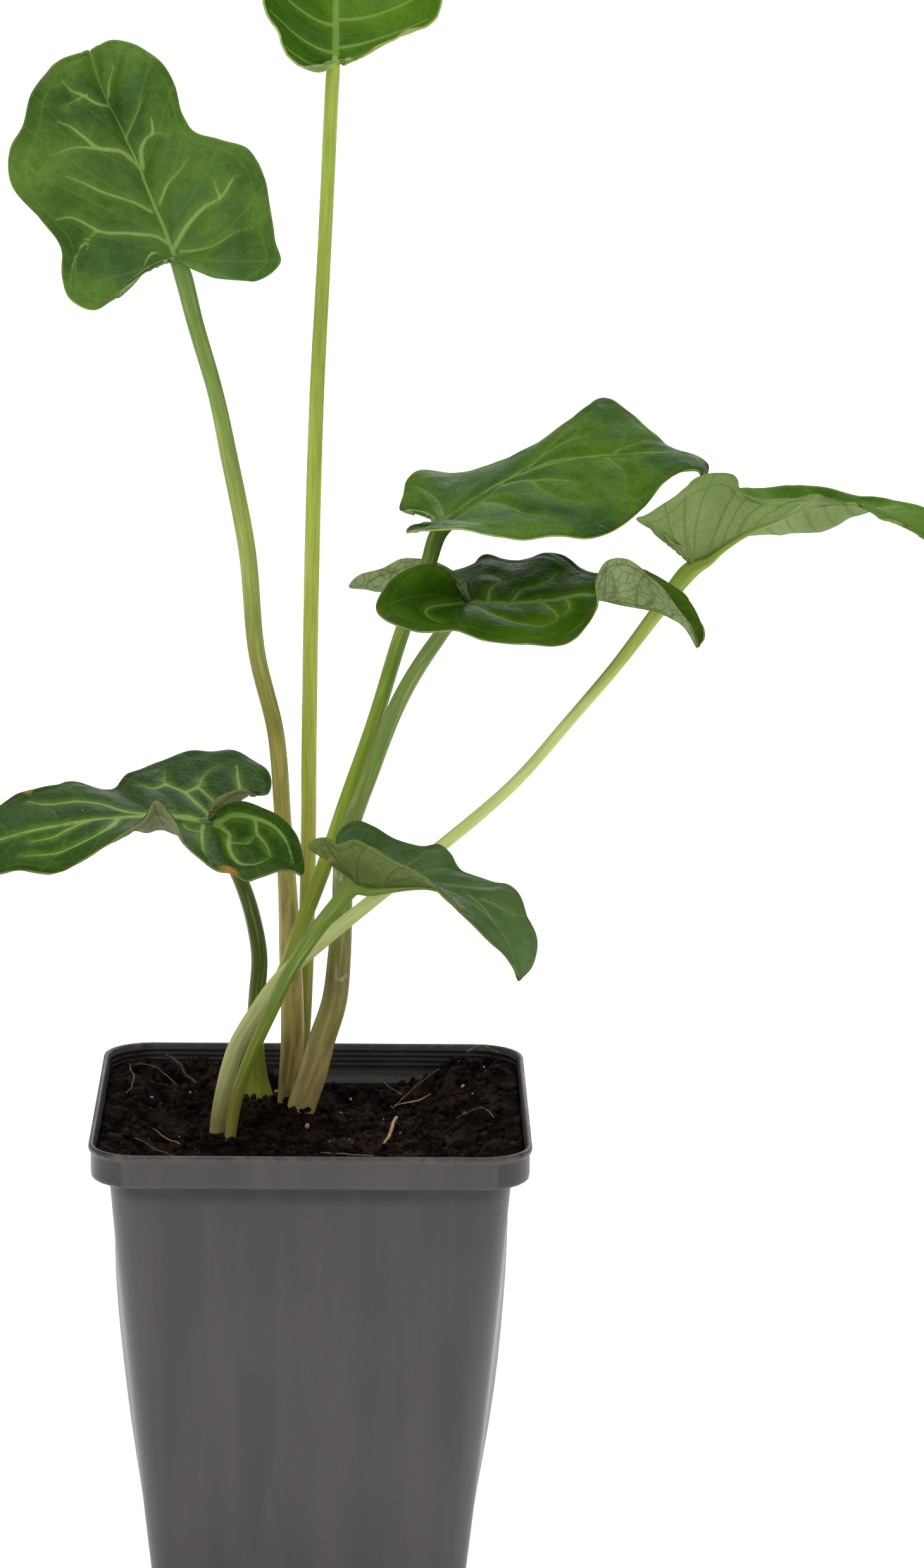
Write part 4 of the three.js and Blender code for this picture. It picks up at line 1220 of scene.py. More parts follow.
    def relief(self, points: np.ndarray, minor: np.ndarray, centre: np.ndarray) -> np.ndarray:
        """How far the surface stands off along its normals.

        Args:
            points: the surface, rows by columns by 3.
            minor: distance outside the nearest minor vein.
            centre: distance to the nearest main vein.

        Returns:
            One number in millimetres for each place, rows by columns.
        """
        quilt = self.look.quilt
        t = np.abs(np.linspace(-1, 1, 2 * self.half_columns + 1))[None, :]
        pillow = quilt * (1 - np.exp(-((centre / 2.3) ** 2)))
        pillow += 0.3 * quilt * (1 - np.exp(-((np.maximum(minor, 0) / 1.0) ** 2)))
        groove = -0.16 * np.exp(-((centre / 0.7) ** 2))
        steps = np.linalg.norm(np.diff(points, axis=0), axis=2)
        arc = np.concatenate([np.zeros((1, points.shape[1])), np.cumsum(steps, axis=0)])
        waves = np.sin(arc / 1.55 + 2.0) + 0.8 * np.sin(arc / 3.4)
        ripple = self.look.ripple * waves * t**5
        flat = points.reshape(-1, 3)
        rolling = 0.35 * soft_noise(flat, 13.0, 3.0) + 0.14 * soft_noise(flat, 4.5, 9.0)
        rolling = self.look.rolling * rolling.reshape(points.shape[:2]) * np.clip(t * 3, 0, 1)
        ends = np.ones(points.shape[0])
        ends[-self.end_rows:] = np.linspace(1, 0, self.end_rows)
        return (pillow * np.clip(1.25 - t**6, 0, 1) + groove + ripple + rolling) * ends[:, None]

    def scar_strength(self, flat: np.ndarray) -> np.ndarray:
        """How dry the blade is at each place.

        Args:
            flat: the places, as rows of x, y and z.

        Returns:
            Numbers from 0 to 1.
        """
        strength = np.zeros(len(flat))
        for x, y, z, radius, amount in self.look.scars:
            away = np.linalg.norm(flat - np.array([x, y, z]), axis=1)
            strength = np.maximum(strength, amount * np.exp(-((away / radius) ** 2)))
        return strength

    def build(self) -> Piece:
        """Makes the blade and ties it to the frame.

        Returns:
            The finished blade.
        """
        piece = start_grid(f"leaf_{self.shape.name}", 2 * self.half_columns, self.rows)
        points, normals = self.sheet()
        outside, minor, centre = self.vein_distances(points)
        raised = points + normals * self.relief(points, minor, centre)[..., None]
        place_vertices(piece, raised.reshape(-1, 3))
        margin = np.linalg.norm(points - np.where(
            (np.arange(points.shape[1]) < self.half_columns)[None, :, None],
            points[:, :1], points[:, -1:]), axis=2)
        reach = np.broadcast_to(np.abs(np.linspace(-1, 1, points.shape[1])), outside.shape)
        stored = {"vein": outside, "minor": minor, "edge": margin, "reach": reach}
        for name, values in stored.items():
            set_attribute(piece, name, values.ravel())
        set_attribute(piece, "scar", self.scar_strength(points.reshape(-1, 3)))
        weld(piece)
        dress(piece, self.look.blade.upper(), self.look.blade.lower())
        apply_modifier(piece, "SOLIDIFY", thickness=self.thickness * MM, offset=-1.0,
                       material_offset=1, material_offset_rim=1, use_even_offset=False)
        shade(piece)
        mount(piece, self.look.slot, [f"blade_{self.shape.name}"])
        return piece


@dataclass
class Stalk:
    """A round tapering stalk that runs on below the midrib as a keel."""

    blade: Blade
    look: LeafLook
    sides: int = 28
    step: float = 0.8
    depth: float = 6.5
    ribs: int = 7
    rib_height: float = 0.012
    samples: int = 40
    girth_rounds: int = 6
    neck: float = 3.0
    neck_share: float = 0.8

    def keel(self) -> np.ndarray:
        """The keel's path under the midrib.

        Returns:
            Rows of x, y, z and radius.
        """
        m = np.linspace(0.06, self.look.keel_share, 9)
        middle = self.blade.spine(m)
        ahead = self.blade.spine(m + 0.02) - self.blade.spine(m - 0.02)
        q = self.blade.lobe_share + (1 - self.blade.lobe_share) * m ** (1 / 1.1)
        out = [self.blade.rib_points(side, q, np.full_like(q, 0.3)) for side in (-1, 1)]
        up = unit(np.cross(out[1] - out[0], ahead))
        start = self.blade.shape.stalk[-1][3]
        onward = m / self.look.keel_share
        radius = np.interp(onward, [0, 0.15, 0.4, 1],
                           [start * 0.72, start * 0.42, start * 0.26, 0.15])
        drop = (0.3 + radius) * (1 - onward**2) + 0.2 * onward**2
        return np.column_stack([middle - up * drop[:, None], radius])

    def build(self) -> Piece:
        """Makes the stalk and ties it to the frame.

        Returns:
            The finished stalk.
        """
        x, y, z, radius = self.blade.shape.stalk[0]
        rows = np.array([(x, y, z - self.depth, radius * 0.8), *self.blade.shape.stalk])
        path = np.vstack([rows, self.keel()])
        fine = np.linspace(0, len(path) - 1, self.samples * len(path))
        route = along_curve(path, fine)
        run = np.concatenate([[0], np.cumsum(np.linalg.norm(np.diff(route, axis=0), axis=1))])
        count = int(run[-1] / self.step)
        at = np.interp(np.linspace(0, run[-1], count + 1), run, fine)
        centre = along_curve(path, at)
        length = np.linspace(0, run[-1], count + 1)
        girth = between(path[:, 3], at)
        for _ in range(self.girth_rounds):
            girth[1:-1] = 0.25 * girth[:-2] + 0.5 * girth[1:-1] + 0.25 * girth[2:]
        petiole = np.interp(len(rows) - 1, fine, run)
        girth[length > run[-1] - self.neck] *= self.neck_share
        ahead = unit(np.gradient(centre, axis=0))
        side = [unit(np.cross(ahead[0], np.array([0.0, 1.0, 0.0])))]
        for direction in ahead[1:]:
            side.append(unit(side[-1] - direction * np.dot(side[-1], direction)))
        side = np.array(side)
        third = np.cross(ahead, side)
        angle = np.linspace(0, 2 * np.pi, self.sides + 1)[None, :]
        twist = (length * 0.006)[:, None]
        bumps = 1 + self.rib_height * np.sin(self.ribs * angle + twist * 8)
        bumps += 0.025 * np.sin(2 * angle + length[:, None] * 0.05)
        reach = girth[:, None] * bumps
        turn = angle[..., None]
        points = centre[:, None] + reach[..., None] * (
            side[:, None] * np.cos(turn) + third[:, None] * np.sin(turn)
        )
        piece = start_grid(f"stalk_{self.blade.shape.name}", self.sides, count)
        place_vertices(piece, points.reshape(-1, 3))
        share = np.repeat(np.clip(length / petiole, 0, 1.2), self.sides + 1)
        around = np.stack([
            np.broadcast_to(np.cos(angle), reach.shape) * 2.2 * MM,
            np.broadcast_to(np.sin(angle), reach.shape) * 2.2 * MM,
            np.broadcast_to(length[:, None], reach.shape) * MM,
        ], axis=-1)
        set_attribute(piece, "along", share)
        set_attribute(piece, "wrap", around.reshape(-1, 3))
        weld(piece, close_ends=True)
        shade(piece)
        dress(piece, self.look.stalk.material())
        mount(piece, self.look.stalk_slot, [f"petiole_{self.blade.shape.name}"])
        return piece


# ---- each leaf's looks ----

MID_GREEN = LeafFinish(
    name="mid_green", deep=(0.032, 0.078, 0.012), fresh=(0.092, 0.18, 0.024),
    vein=(0.26, 0.36, 0.1), margin=(0.2, 0.28, 0.05),
    under=(0.17, 0.24, 0.08), under_fresh=(0.22, 0.3, 0.11),
    under_vein=(0.09, 0.14, 0.04), keel=(0.36, 0.44, 0.1),
    painted_sheen=(0.05, 0.105, 0.04), painted_sheen_share=0.5, halo=(0.13, 0.23, 0.035), halo_share=0.35,
)
FRESH_GREEN = LeafFinish(
    name="fresh_green", deep=(0.013, 0.05, 0.002), fresh=(0.066, 0.145, 0.003),
    vein=(0.15, 0.24, 0.05), margin=(0.1, 0.14, 0.02),
    under=(0.17, 0.24, 0.08), under_fresh=(0.22, 0.3, 0.11),
    under_vein=(0.09, 0.14, 0.04), keel=(0.36, 0.44, 0.1),
    painted_sheen=(0.022, 0.062, 0.018), painted_sheen_share=0.55, halo=(0.08, 0.15, 0.012), halo_share=0.4,
)
GLOSSY_GREEN = LeafFinish(
    name="glossy_green", deep=(0.032, 0.1, 0.003), fresh=(0.09, 0.2, 0.006),
    vein=(0.2, 0.32, 0.06), margin=(0.22, 0.32, 0.07),
    under=(0.24, 0.32, 0.1), under_fresh=(0.3, 0.38, 0.14),
    under_vein=(0.14, 0.22, 0.06), keel=(0.36, 0.45, 0.12), painted_sheen_share=0.15,
)
DEEP_GREEN = LeafFinish(
    name="deep_green", deep=(0.024, 0.07, 0.0015), fresh=(0.055, 0.125, 0.003),
    vein=(0.22, 0.33, 0.07), margin=(0.12, 0.06, 0.03),
    under=(0.16, 0.21, 0.08), under_fresh=(0.2, 0.255, 0.105),
    under_vein=(0.06, 0.095, 0.025), keel=(0.2, 0.24, 0.08),
    painted_sheen=(0.035, 0.07, 0.02), painted_sheen_share=0.25, halo=(0.1, 0.18, 0.015), halo_share=0.6,
    speck_share=0.35, under_net=0.6,
)
DULL_GREEN = LeafFinish(
    name="dull_green", deep=(0.036, 0.078, 0.02), fresh=(0.078, 0.14, 0.034),
    vein=(0.15, 0.22, 0.08), margin=(0.1, 0.08, 0.035),
    under=(0.085, 0.12, 0.028), under_fresh=(0.125, 0.165, 0.042),
    under_vein=(0.05, 0.075, 0.018), keel=(0.15, 0.21, 0.04),
    painted_sheen=(0.11, 0.15, 0.08), painted_sheen_share=0.6, halo=(0.1, 0.16, 0.045), halo_share=0.45,
    speck_share=0.7, vein_strength=0.75,
)
PALE_BACK = LeafFinish(
    name="pale_back", deep=(0.05, 0.13, 0.01), fresh=(0.1, 0.2, 0.022),
    vein=(0.14, 0.22, 0.05), margin=(0.2, 0.25, 0.08),
    under=(0.135, 0.195, 0.055), under_fresh=(0.18, 0.24, 0.078),
    under_vein=(0.085, 0.13, 0.035), keel=(0.19, 0.27, 0.05), painted_sheen_share=0.2, under_net=0.2,
)
VEINED_GREEN = LeafFinish(
    name="veined_green", deep=(0.014, 0.042, 0.002), fresh=(0.032, 0.076, 0.005),
    vein=(0.22, 0.33, 0.08), margin=(0.1, 0.12, 0.03),
    under=(0.1, 0.11, 0.04), under_fresh=(0.15, 0.17, 0.065),
    under_vein=(0.05, 0.06, 0.02), keel=(0.25, 0.3, 0.09),
    painted_sheen=(0.045, 0.075, 0.03), painted_sheen_share=0.35, halo=(0.085, 0.165, 0.015), halo_share=0.8,
    speck_share=0.6, vein_strength=0.9, net_strength=0.22,
)

LOOKS = {
    "upper_left": LeafLook(
        MID_GREEN,
        StalkFinish("upper_left", (
            (0.0, (0.44, 0.35, 0.1)), (0.15, (0.48, 0.39, 0.12)), (0.35, (0.4, 0.34, 0.08)),
            (0.5, (0.21, 0.2, 0.035)), (0.68, (0.27, 0.33, 0.07)), (0.85, (0.17, 0.25, 0.048)),
            (1.0, (0.12, 0.2, 0.04))), streak_share=0.6),
        Slot.LEAF, Slot.STALK, quilt=1.0, rolling=1.7, vein_width=0.55, routes=(
            (1.1, 0.25, ((0.02, 0.72), (-0.14, 0.732), (-0.38, 0.69), (-0.5, 0.69),
                         (-0.62, 0.69), (-0.74, 0.673))),
            (0.6, 0.2, ((-0.38, 0.69), (-0.6, 0.631), (-0.74, 0.565))),
            (0.9, 0.2, ((0.0, 0.881), (-0.33, 0.821), (-0.55, 0.798), (-0.67, 0.78),
                        (-0.83, 0.774))),
            (0.8, 0.2, ((-0.05, 0.565), (-0.14, 0.571), (-0.36, 0.548), (-0.48, 0.542),
                        (-0.62, 0.53))),
            (1.0, 0.25, ((-0.02, 0.458), (-0.07, 0.47), (-0.26, 0.44), (-0.52, 0.393),
                         (-0.67, 0.399), (-0.86, 0.357))),
            (0.5, 0.2, ((-0.55, 0.387), (-0.69, 0.339), (-0.76, 0.31))),
            (0.5, 0.15, ((-0.71, 0.339), (-0.9, 0.274), (-0.95, 0.232))),
            (1.1, 0.3, ((0.05, 0.714), (0.14, 0.738), (0.26, 0.738), (0.43, 0.726),
                        (0.48, 0.744))),
            (0.6, 0.2, ((0.33, 0.732), (0.48, 0.708), (0.69, 0.649))),
            (0.7, 0.2, ((0.07, 0.589), (0.24, 0.601), (0.48, 0.583), (0.64, 0.571))),
            (1.1, 0.25, ((0.02, 0.44), (0.19, 0.464), (0.4, 0.464), (0.57, 0.446),
                         (0.74, 0.446), (0.83, 0.435))),
            (0.5, 0.2, ((0.57, 0.446), (0.57, 0.464), (0.6, 0.482))),
            (0.6, 0.2, ((0.05, 0.893), (0.21, 0.905), (0.5, 0.905))),
            (0.5, 0.15, ((0.07, 0.417), (0.33, 0.363), (0.57, 0.363), (0.86, 0.339))),
            (0.45, 0.15, ((-0.48, 0.815), (-0.6, 0.768), (-0.71, 0.72))),
            (0.45, 0.15, ((0.02, 0.792), (0.31, 0.792), (0.45, 0.792))),
        ),
    ),
    "top": LeafLook(
        GLOSSY_GREEN,
        StalkFinish("top", (
            (0.0, (0.2, 0.19, 0.045)), (0.15, (0.28, 0.28, 0.05)), (0.35, (0.39, 0.42, 0.065)),
            (0.6, (0.39, 0.46, 0.07)), (0.8, (0.31, 0.4, 0.06)), (1.0, (0.34, 0.44, 0.07)))),
        Slot.LEAF, Slot.STALK, quilt=0.4,
    ),
    "upper_right": LeafLook(
        FRESH_GREEN,
        StalkFinish("upper_right", (
            (0.0, (0.2, 0.16, 0.06)), (0.15, (0.25, 0.23, 0.075)), (0.35, (0.26, 0.33, 0.03)),
            (0.6, (0.23, 0.33, 0.028)), (0.8, (0.14, 0.22, 0.022)), (1.0, (0.09, 0.14, 0.018))),
            streak_share=0.4),
        Slot.LEAF, Slot.STALK, quilt=0.55, ripple=0.1, vein_width=0.6, routes=(
            (0.9, 0.25, ((0.31, 0.387), (0.19, 0.476), (-0.07, 0.571), (-0.26, 0.631),
                         (-0.4, 0.673))),
            (1.0, 0.25, ((0.07, 0.536), (0.14, 0.595), (0.29, 0.655), (0.45, 0.649))),
            (0.6, 0.2, ((0.14, 0.595), (0.4, 0.595), (0.62, 0.631))),
            (0.7, 0.2, ((-0.02, 0.625), (-0.05, 0.667), (0.0, 0.72), (0.14, 0.774))),
            (0.6, 0.2, ((0.19, 0.476), (0.43, 0.5), (0.69, 0.524), (0.76, 0.571))),
            (0.5, 0.2, ((0.07, 0.75), (0.43, 0.744), (0.71, 0.708))),
            (0.6, 0.2, ((-0.12, 0.381), (-0.4, 0.345), (-0.76, 0.268), (-0.93, 0.232))),
            (0.5, 0.2, ((-0.03, 0.6), (-0.35, 0.6), (-0.8, 0.58))),
            (0.5, 0.2, ((-0.03, 0.76), (-0.4, 0.77), (-0.8, 0.76))),
            (0.6, 0.2, ((0.05, 0.3), (0.4, 0.22), (0.8, 0.2))),
        ),
    ),
    "far_right": LeafLook(
        PALE_BACK,
        StalkFinish("far_right", (
            (0.0, (0.3, 0.23, 0.08)), (0.1, (0.45, 0.44, 0.18)), (0.25, (0.42, 0.44, 0.17)),
            (0.5, (0.56, 0.62, 0.22)), (0.7, (0.5, 0.55, 0.19)), (0.9, (0.3, 0.37, 0.065)),
            (1.0, (0.2, 0.29, 0.035)))),
        Slot.LEAF, Slot.PALE_STALK, quilt=0.35, ripple=0.3, laterals=7, vein_width=0.6,
        keel_share=0.5,
    ),
    "middle_right": LeafLook(
        DEEP_GREEN,
        StalkFinish("middle_right", (
            (0.0, (0.44, 0.35, 0.12)), (0.15, (0.4, 0.33, 0.11)), (0.3, (0.2, 0.18, 0.04)),
            (0.45, (0.17, 0.2, 0.045)), (0.65, (0.15, 0.22, 0.04)), (1.0, (0.13, 0.19, 0.045))),
            streak_share=0.45, blister_share=0.8),
        Slot.DARK_LEAF, Slot.STALK, quilt=0.5, ripple=0.15, vein_width=1.2, routes=(
            (1.1, 0.3, ((0.03, 0.4), (0.24, 0.423), (0.48, 0.464), (0.57, 0.476), (0.62, 0.506),
                        (0.57, 0.536))),
            (0.9, 0.3, ((0.12, 0.488), (-0.1, 0.5), (-0.26, 0.506), (-0.31, 0.53))),
            (0.9, 0.3, ((-0.05, 0.554), (0.21, 0.565), (0.5, 0.554), (0.57, 0.536))),
            (0.8, 0.3, ((-0.02, 0.619), (0.33, 0.601), (0.48, 0.571))),
            (0.9, 0.3, ((0.05, 0.3), (0.21, 0.315), (0.48, 0.298), (0.64, 0.31), (0.79, 0.351))),
            (0.8, 0.3, ((-0.05, 0.09), (-0.36, 0.083), (-0.57, 0.089), (-0.55, 0.119))),
            (0.8, 0.3, ((-0.05, 0.446), (-0.26, 0.435), (-0.45, 0.435), (-0.55, 0.405))),
            (0.8, 0.3, ((-0.31, 0.53), (-0.45, 0.542), (-0.62, 0.536))),
            (0.8, 0.2, ((0.03, 0.72), (0.4, 0.74), (0.8, 0.72))),
            (0.7, 0.2, ((0.03, 0.82), (0.4, 0.84), (0.8, 0.82))),
            (0.7, 0.2, ((-0.03, 0.72), (-0.4, 0.74), (-0.8, 0.72))),
            (0.8, 0.2, ((-0.03, 0.24), (-0.4, 0.2), (-0.85, 0.2))),
        ),
    ),
    "lower_right": LeafLook(
        DULL_GREEN,
        StalkFinish("lower_right", (
            (0.0, (0.34, 0.27, 0.07)), (0.3, (0.18, 0.21, 0.022)), (0.6, (0.12, 0.19, 0.024)),
            (1.0, (0.13, 0.2, 0.03)))),
        Slot.LEAF, Slot.STALK, quilt=0.45, ripple=0.12, vein_width=0.7,
        scars=((3.0, -26.0, 157.5, 1.6, 0.8), (30.0, -37.0, 150.0, 1.3, 0.7)),
        routes=(
            (0.8, 0.25, ((-0.19, 0.667), (-0.43, 0.69), (-0.69, 0.714), (-0.86, 0.72))),
            (0.7, 0.25, ((-0.17, 0.744), (-0.07, 0.821), (0.0, 0.881))),
            (0.7, 0.25, ((-0.24, 0.774), (-0.48, 0.827), (-0.93, 0.827))),
            (0.9, 0.25, ((-0.03, 0.45), (-0.3, 0.49), (-0.6, 0.52), (-0.9, 0.5))),
            (0.8, 0.25, ((-0.03, 0.55), (-0.4, 0.6), (-0.85, 0.62))),
            (0.7, 0.25, ((-0.03, 0.25), (-0.35, 0.22), (-0.8, 0.25))),
            (0.7, 0.25, ((0.03, 0.5), (0.4, 0.55), (0.85, 0.55))),
            (0.7, 0.2, ((0.03, 0.68), (0.4, 0.72), (0.85, 0.72))),
            (0.7, 0.2, ((0.03, 0.25), (0.35, 0.2), (0.8, 0.2))),
        ),
    ),
    "lower_left": LeafLook(
        VEINED_GREEN,
        StalkFinish("lower_left", (
            (0.0, (0.33, 0.38, 0.05)), (0.2, (0.22, 0.25, 0.028)), (0.45, (0.08, 0.13, 0.016)),
            (0.75, (0.065, 0.105, 0.015)), (1.0, (0.1, 0.14, 0.04)))),
        Slot.DARK_LEAF, Slot.STALK, quilt=0.5, vein_width=1.1,
        scars=((-17.0, -13.5, 151.5, 2.6, 1.0), (-60.0, 12.0, 162.5, 1.6, 0.9)),
        routes=(
            (1.4, 0.4, ((0.02, 0.47), (0.0, 0.542), (0.1, 0.637), (0.43, 0.69), (0.55, 0.78),
                        (0.76, 0.815))),
            (1.1, 0.3, ((0.0, 0.685), (-0.4, 0.696), (-0.5, 0.714), (-0.6, 0.774),
                        (-0.64, 0.827))),
            (0.8, 0.3, ((-0.02, 0.744), (-0.12, 0.78), (-0.26, 0.81), (-0.29, 0.839))),
            (1.3, 0.4, ((-0.02, 0.161), (-0.29, 0.101), (-0.6, 0.107), (-0.81, 0.125),
                        (-0.9, 0.161))),
            (1.2, 0.4, ((-0.05, 0.19), (-0.14, 0.179), (-0.38, 0.274), (-0.71, 0.268),
                        (-0.79, 0.232), (-0.74, 0.208))),
            (0.9, 0.3, ((-0.6, 0.107), (-0.52, 0.149), (-0.62, 0.167), (-0.74, 0.208))),
            (0.7, 0.3, ((-0.38, 0.274), (-0.43, 0.19), (-0.52, 0.149))),
            (1.3, 0.4, ((0.03, 0.2), (0.25, 0.2), (0.5, 0.24), (0.67, 0.28), (0.83, 0.292))),
            (1.2, 0.4, ((0.1, 0.393), (0.24, 0.429), (0.4, 0.446), (0.6, 0.464), (0.83, 0.435))),
            (0.8, 0.3, ((0.4, 0.446), (0.48, 0.405), (0.64, 0.375), (0.81, 0.327))),
            (0.8, 0.3, ((0.48, 0.405), (0.36, 0.381), (0.24, 0.339))),
            (0.8, 0.3, ((0.6, 0.464), (0.57, 0.494), (0.71, 0.512))),
            (0.9, 0.3, ((-0.03, 0.42), (-0.21, 0.411), (-0.62, 0.369), (-0.95, 0.321))),
            (0.6, 0.3, ((-0.21, 0.411), (-0.19, 0.458), (-0.1, 0.488))),
        ),
    ),
}


# ---- the pot and what fills it ----


@dataclass
class Pot:
    """The square nursery pot: a tapering wall, a skirt, a rolled lip and four drain holes."""

    height: float = 100.0
    rim_half: float = 45.0
    skirt_half: float = 44.5
    skirt_height: float = 7.0
    skirt_step: float = 3.5
    base_half: float = 32.0
    base_corner: float = 7.0
    wall: float = 1.2
    skirt_wall: float = 0.6
    floor: float = 2.0
    bulge: float = 3.1
    drain_radius: float = 4.0
    drain_offset: float = 19.0
    corner_steps: int = 7
    side_cuts: int = 19
    drain_sides: int = 32
    rib_levels: tuple[float, ...] = (98.9, 97.8, 96.7, 95.6)

    @property
    def skirt_inner(self) -> float:
        """The half width between the skirt's inner faces."""
        return self.skirt_half - self.skirt_wall

    @property
    def foot(self) -> float:
        """The height of the skirt's lower edge."""
        return self.height - self.skirt_height

    def wall_half(self, level: float) -> float:
        """The wall's half width at a height below the skirt."""
        top = self.skirt_half - self.skirt_step
        return self.base_half + (top - self.base_half) * level / self.foot

    def profile(self) -> list[tuple[float, float]]:
        """The half width and height of each round, up the outside and down the inside.

        Returns:
            Pairs of half width and height.
        """
        levels = [1.0, *np.linspace(7, 88, 14), self.foot - 0.8]
        outside = [(self.wall_half(z), float(z)) for z in levels]
        skirt = [
            (self.wall_half(self.foot) + 0.5, self.foot - 0.35),
            (self.skirt_half - 0.5, self.foot - 0.1), (self.skirt_half - 0.1, self.foot + 0.3),
            (self.skirt_half, self.foot + 1.0), (self.skirt_half, self.height - 2.0),
            (self.skirt_half + 0.05, self.height - 1.6), (self.rim_half - 0.1, self.height - 1.2),
            (self.rim_half, self.height - 0.8), (self.rim_half - 0.05, self.height - 0.35),
            (self.rim_half - 0.25, self.height - 0.08), (self.rim_half - 0.55, self.height),
            (self.rim_half - 0.85, self.height - 0.12), (self.rim_half - 1.05, self.height - 0.4),
        ]
        inner = self.skirt_inner
        ribs = []
        for level in self.rib_levels:
            ribs += [(inner, level), (inner - 0.16, level - 0.2), (inner - 0.16, level - 0.35),
                     (inner, level - 0.55)]
        step = [(inner, self.foot + 0.9), (inner - 0.5, self.foot + 0.3),
                (self.wall_half(self.foot) - self.wall, self.foot - 0.6)]
        inside = [(self.wall_half(z) - self.wall, float(z)) for z in np.linspace(86, 8, 12)]
        inside.append((self.wall_half(self.floor) - self.wall, self.floor))
        return outside + skirt + ribs + step + inside

    def build(self) -> Piece:
        """Makes the pot and ties it to the frame.

        Returns:
            The finished pot.
        """
        start = self.base_half - 0.8
        clear_selection()
        bpy.ops.mesh.primitive_plane_add(size=2 * start * MM)
        piece = bpy.context.object
        piece.name = piece.data.name = "pot"
        with edit_mode(piece):
            bpy.ops.mesh.select_all(action="SELECT")
            bpy.ops.mesh.bevel(offset=self.base_corner * MM, segments=self.corner_steps,
                               affect="VERTICES")
        long_edge = 0.9 * 2 * (start - self.base_corner) * MM
        chosen = []
        for edge in piece.data.edges:
            a, b = (piece.data.vertices[i].co for i in edge.vertices)
            if (a - b).length > long_edge:
                chosen.append(edge.index)
        with edit_mode(piece):
            bpy.ops.mesh.select_mode(type="EDGE")
            bpy.ops.object.mode_set(mode="OBJECT")
            for index in chosen:
                piece.data.edges[index].select = True
            bpy.ops.object.mode_set(mode="EDIT")
            bpy.ops.mesh.subdivide(number_cuts=self.side_cuts)
            bpy.ops.mesh.select_mode(type="FACE")
            bpy.ops.mesh.select_all(action="SELECT")
            half, level = start, 0.0
            for next_half, next_level in self.profile():
                lift = (0.0, 0.0, (next_level - level) * MM)
                bpy.ops.mesh.extrude_region_move(TRANSFORM_OT_translate={"value": lift})
                share = next_half / half
                bpy.ops.transform.resize(value=(share, share, 1.0),
                                         center_override=(0.0, 0.0, next_level * MM))
                half, level = next_half, next_level
            bpy.ops.mesh.select_all(action="DESELECT")
            bpy.ops.mesh.select_mode(type="EDGE")
            bpy.ops.mesh.select_non_manifold()
            bpy.ops.mesh.edge_face_add()
            bpy.ops.mesh.select_all(action="SELECT")
            bpy.ops.mesh.normals_make_consistent(inside=False)
        self.swell(piece)
        self.drill(piece)
        shade(piece, 42.0)
        dress(piece, PotFinish().material())
        mount(piece, Slot.POT, ["nursery_pot"])
        return piece

    def swell(self, piece: Piece) -> None:
        """Moves each side of the wall outwards between its corners.

        Args:
            piece: the pot.
        """
        for vertex in piece.data.vertices:
            x, y, z = (value / MM for value in vertex.co)
            if not self.floor - 0.1 < z < self.foot - 0.7:
                continue
            rise = self.bulge * math.sin(math.pi * z / self.foot)
            half = self.wall_half(z)
            dent = 0.25 * noise.noise(Vector((x, y, z)) / 26.0)
            for axis, across in ((0, y), (1, x)):
                place = (x, y)[axis]
                if abs(place) > half - self.wall - 0.3 and abs(across) < half - 4.0:
                    share = math.cos(across / half * math.pi / 2) ** 2
                    vertex.co[axis] += math.copysign((rise + dent) * share * MM, place)

    def drill(self, piece: Piece) -> None:
        """Cuts the four drain holes through the floor.

        Args:
            piece: the pot.
        """
        for sx, sy in ((1, 1), (1, -1), (-1, 1), (-1, -1)):
            clear_selection()
            place = (sx * self.drain_offset * MM, sy * self.drain_offset * MM, self.floor / 2 * MM)
            bpy.ops.mesh.primitive_cylinder_add(
                vertices=self.drain_sides, radius=self.drain_radius * MM,
                depth=self.floor * 3 * MM, location=place)
            cutter = bpy.context.object
            apply_modifier(piece, "BOOLEAN", operation="DIFFERENCE", object=cutter)
            bpy.data.objects.remove(cutter)


def ease(value: np.ndarray, start: float, end: float) -> np.ndarray:
    """A smooth rise from 0 at start to 1 at end."""
    share = np.clip((np.asarray(value, float) - start) / (end - start), 0.0, 1.0)
    return share * share * (3 - 2 * share)


def mound(x: np.ndarray, y: np.ndarray, cx: float, cy: float, height: float,
          spread: float) -> np.ndarray:
    """A round heap's height at each place."""
    return height * np.exp(-((x - cx) ** 2 + (y - cy) ** 2) / (2 * spread**2))


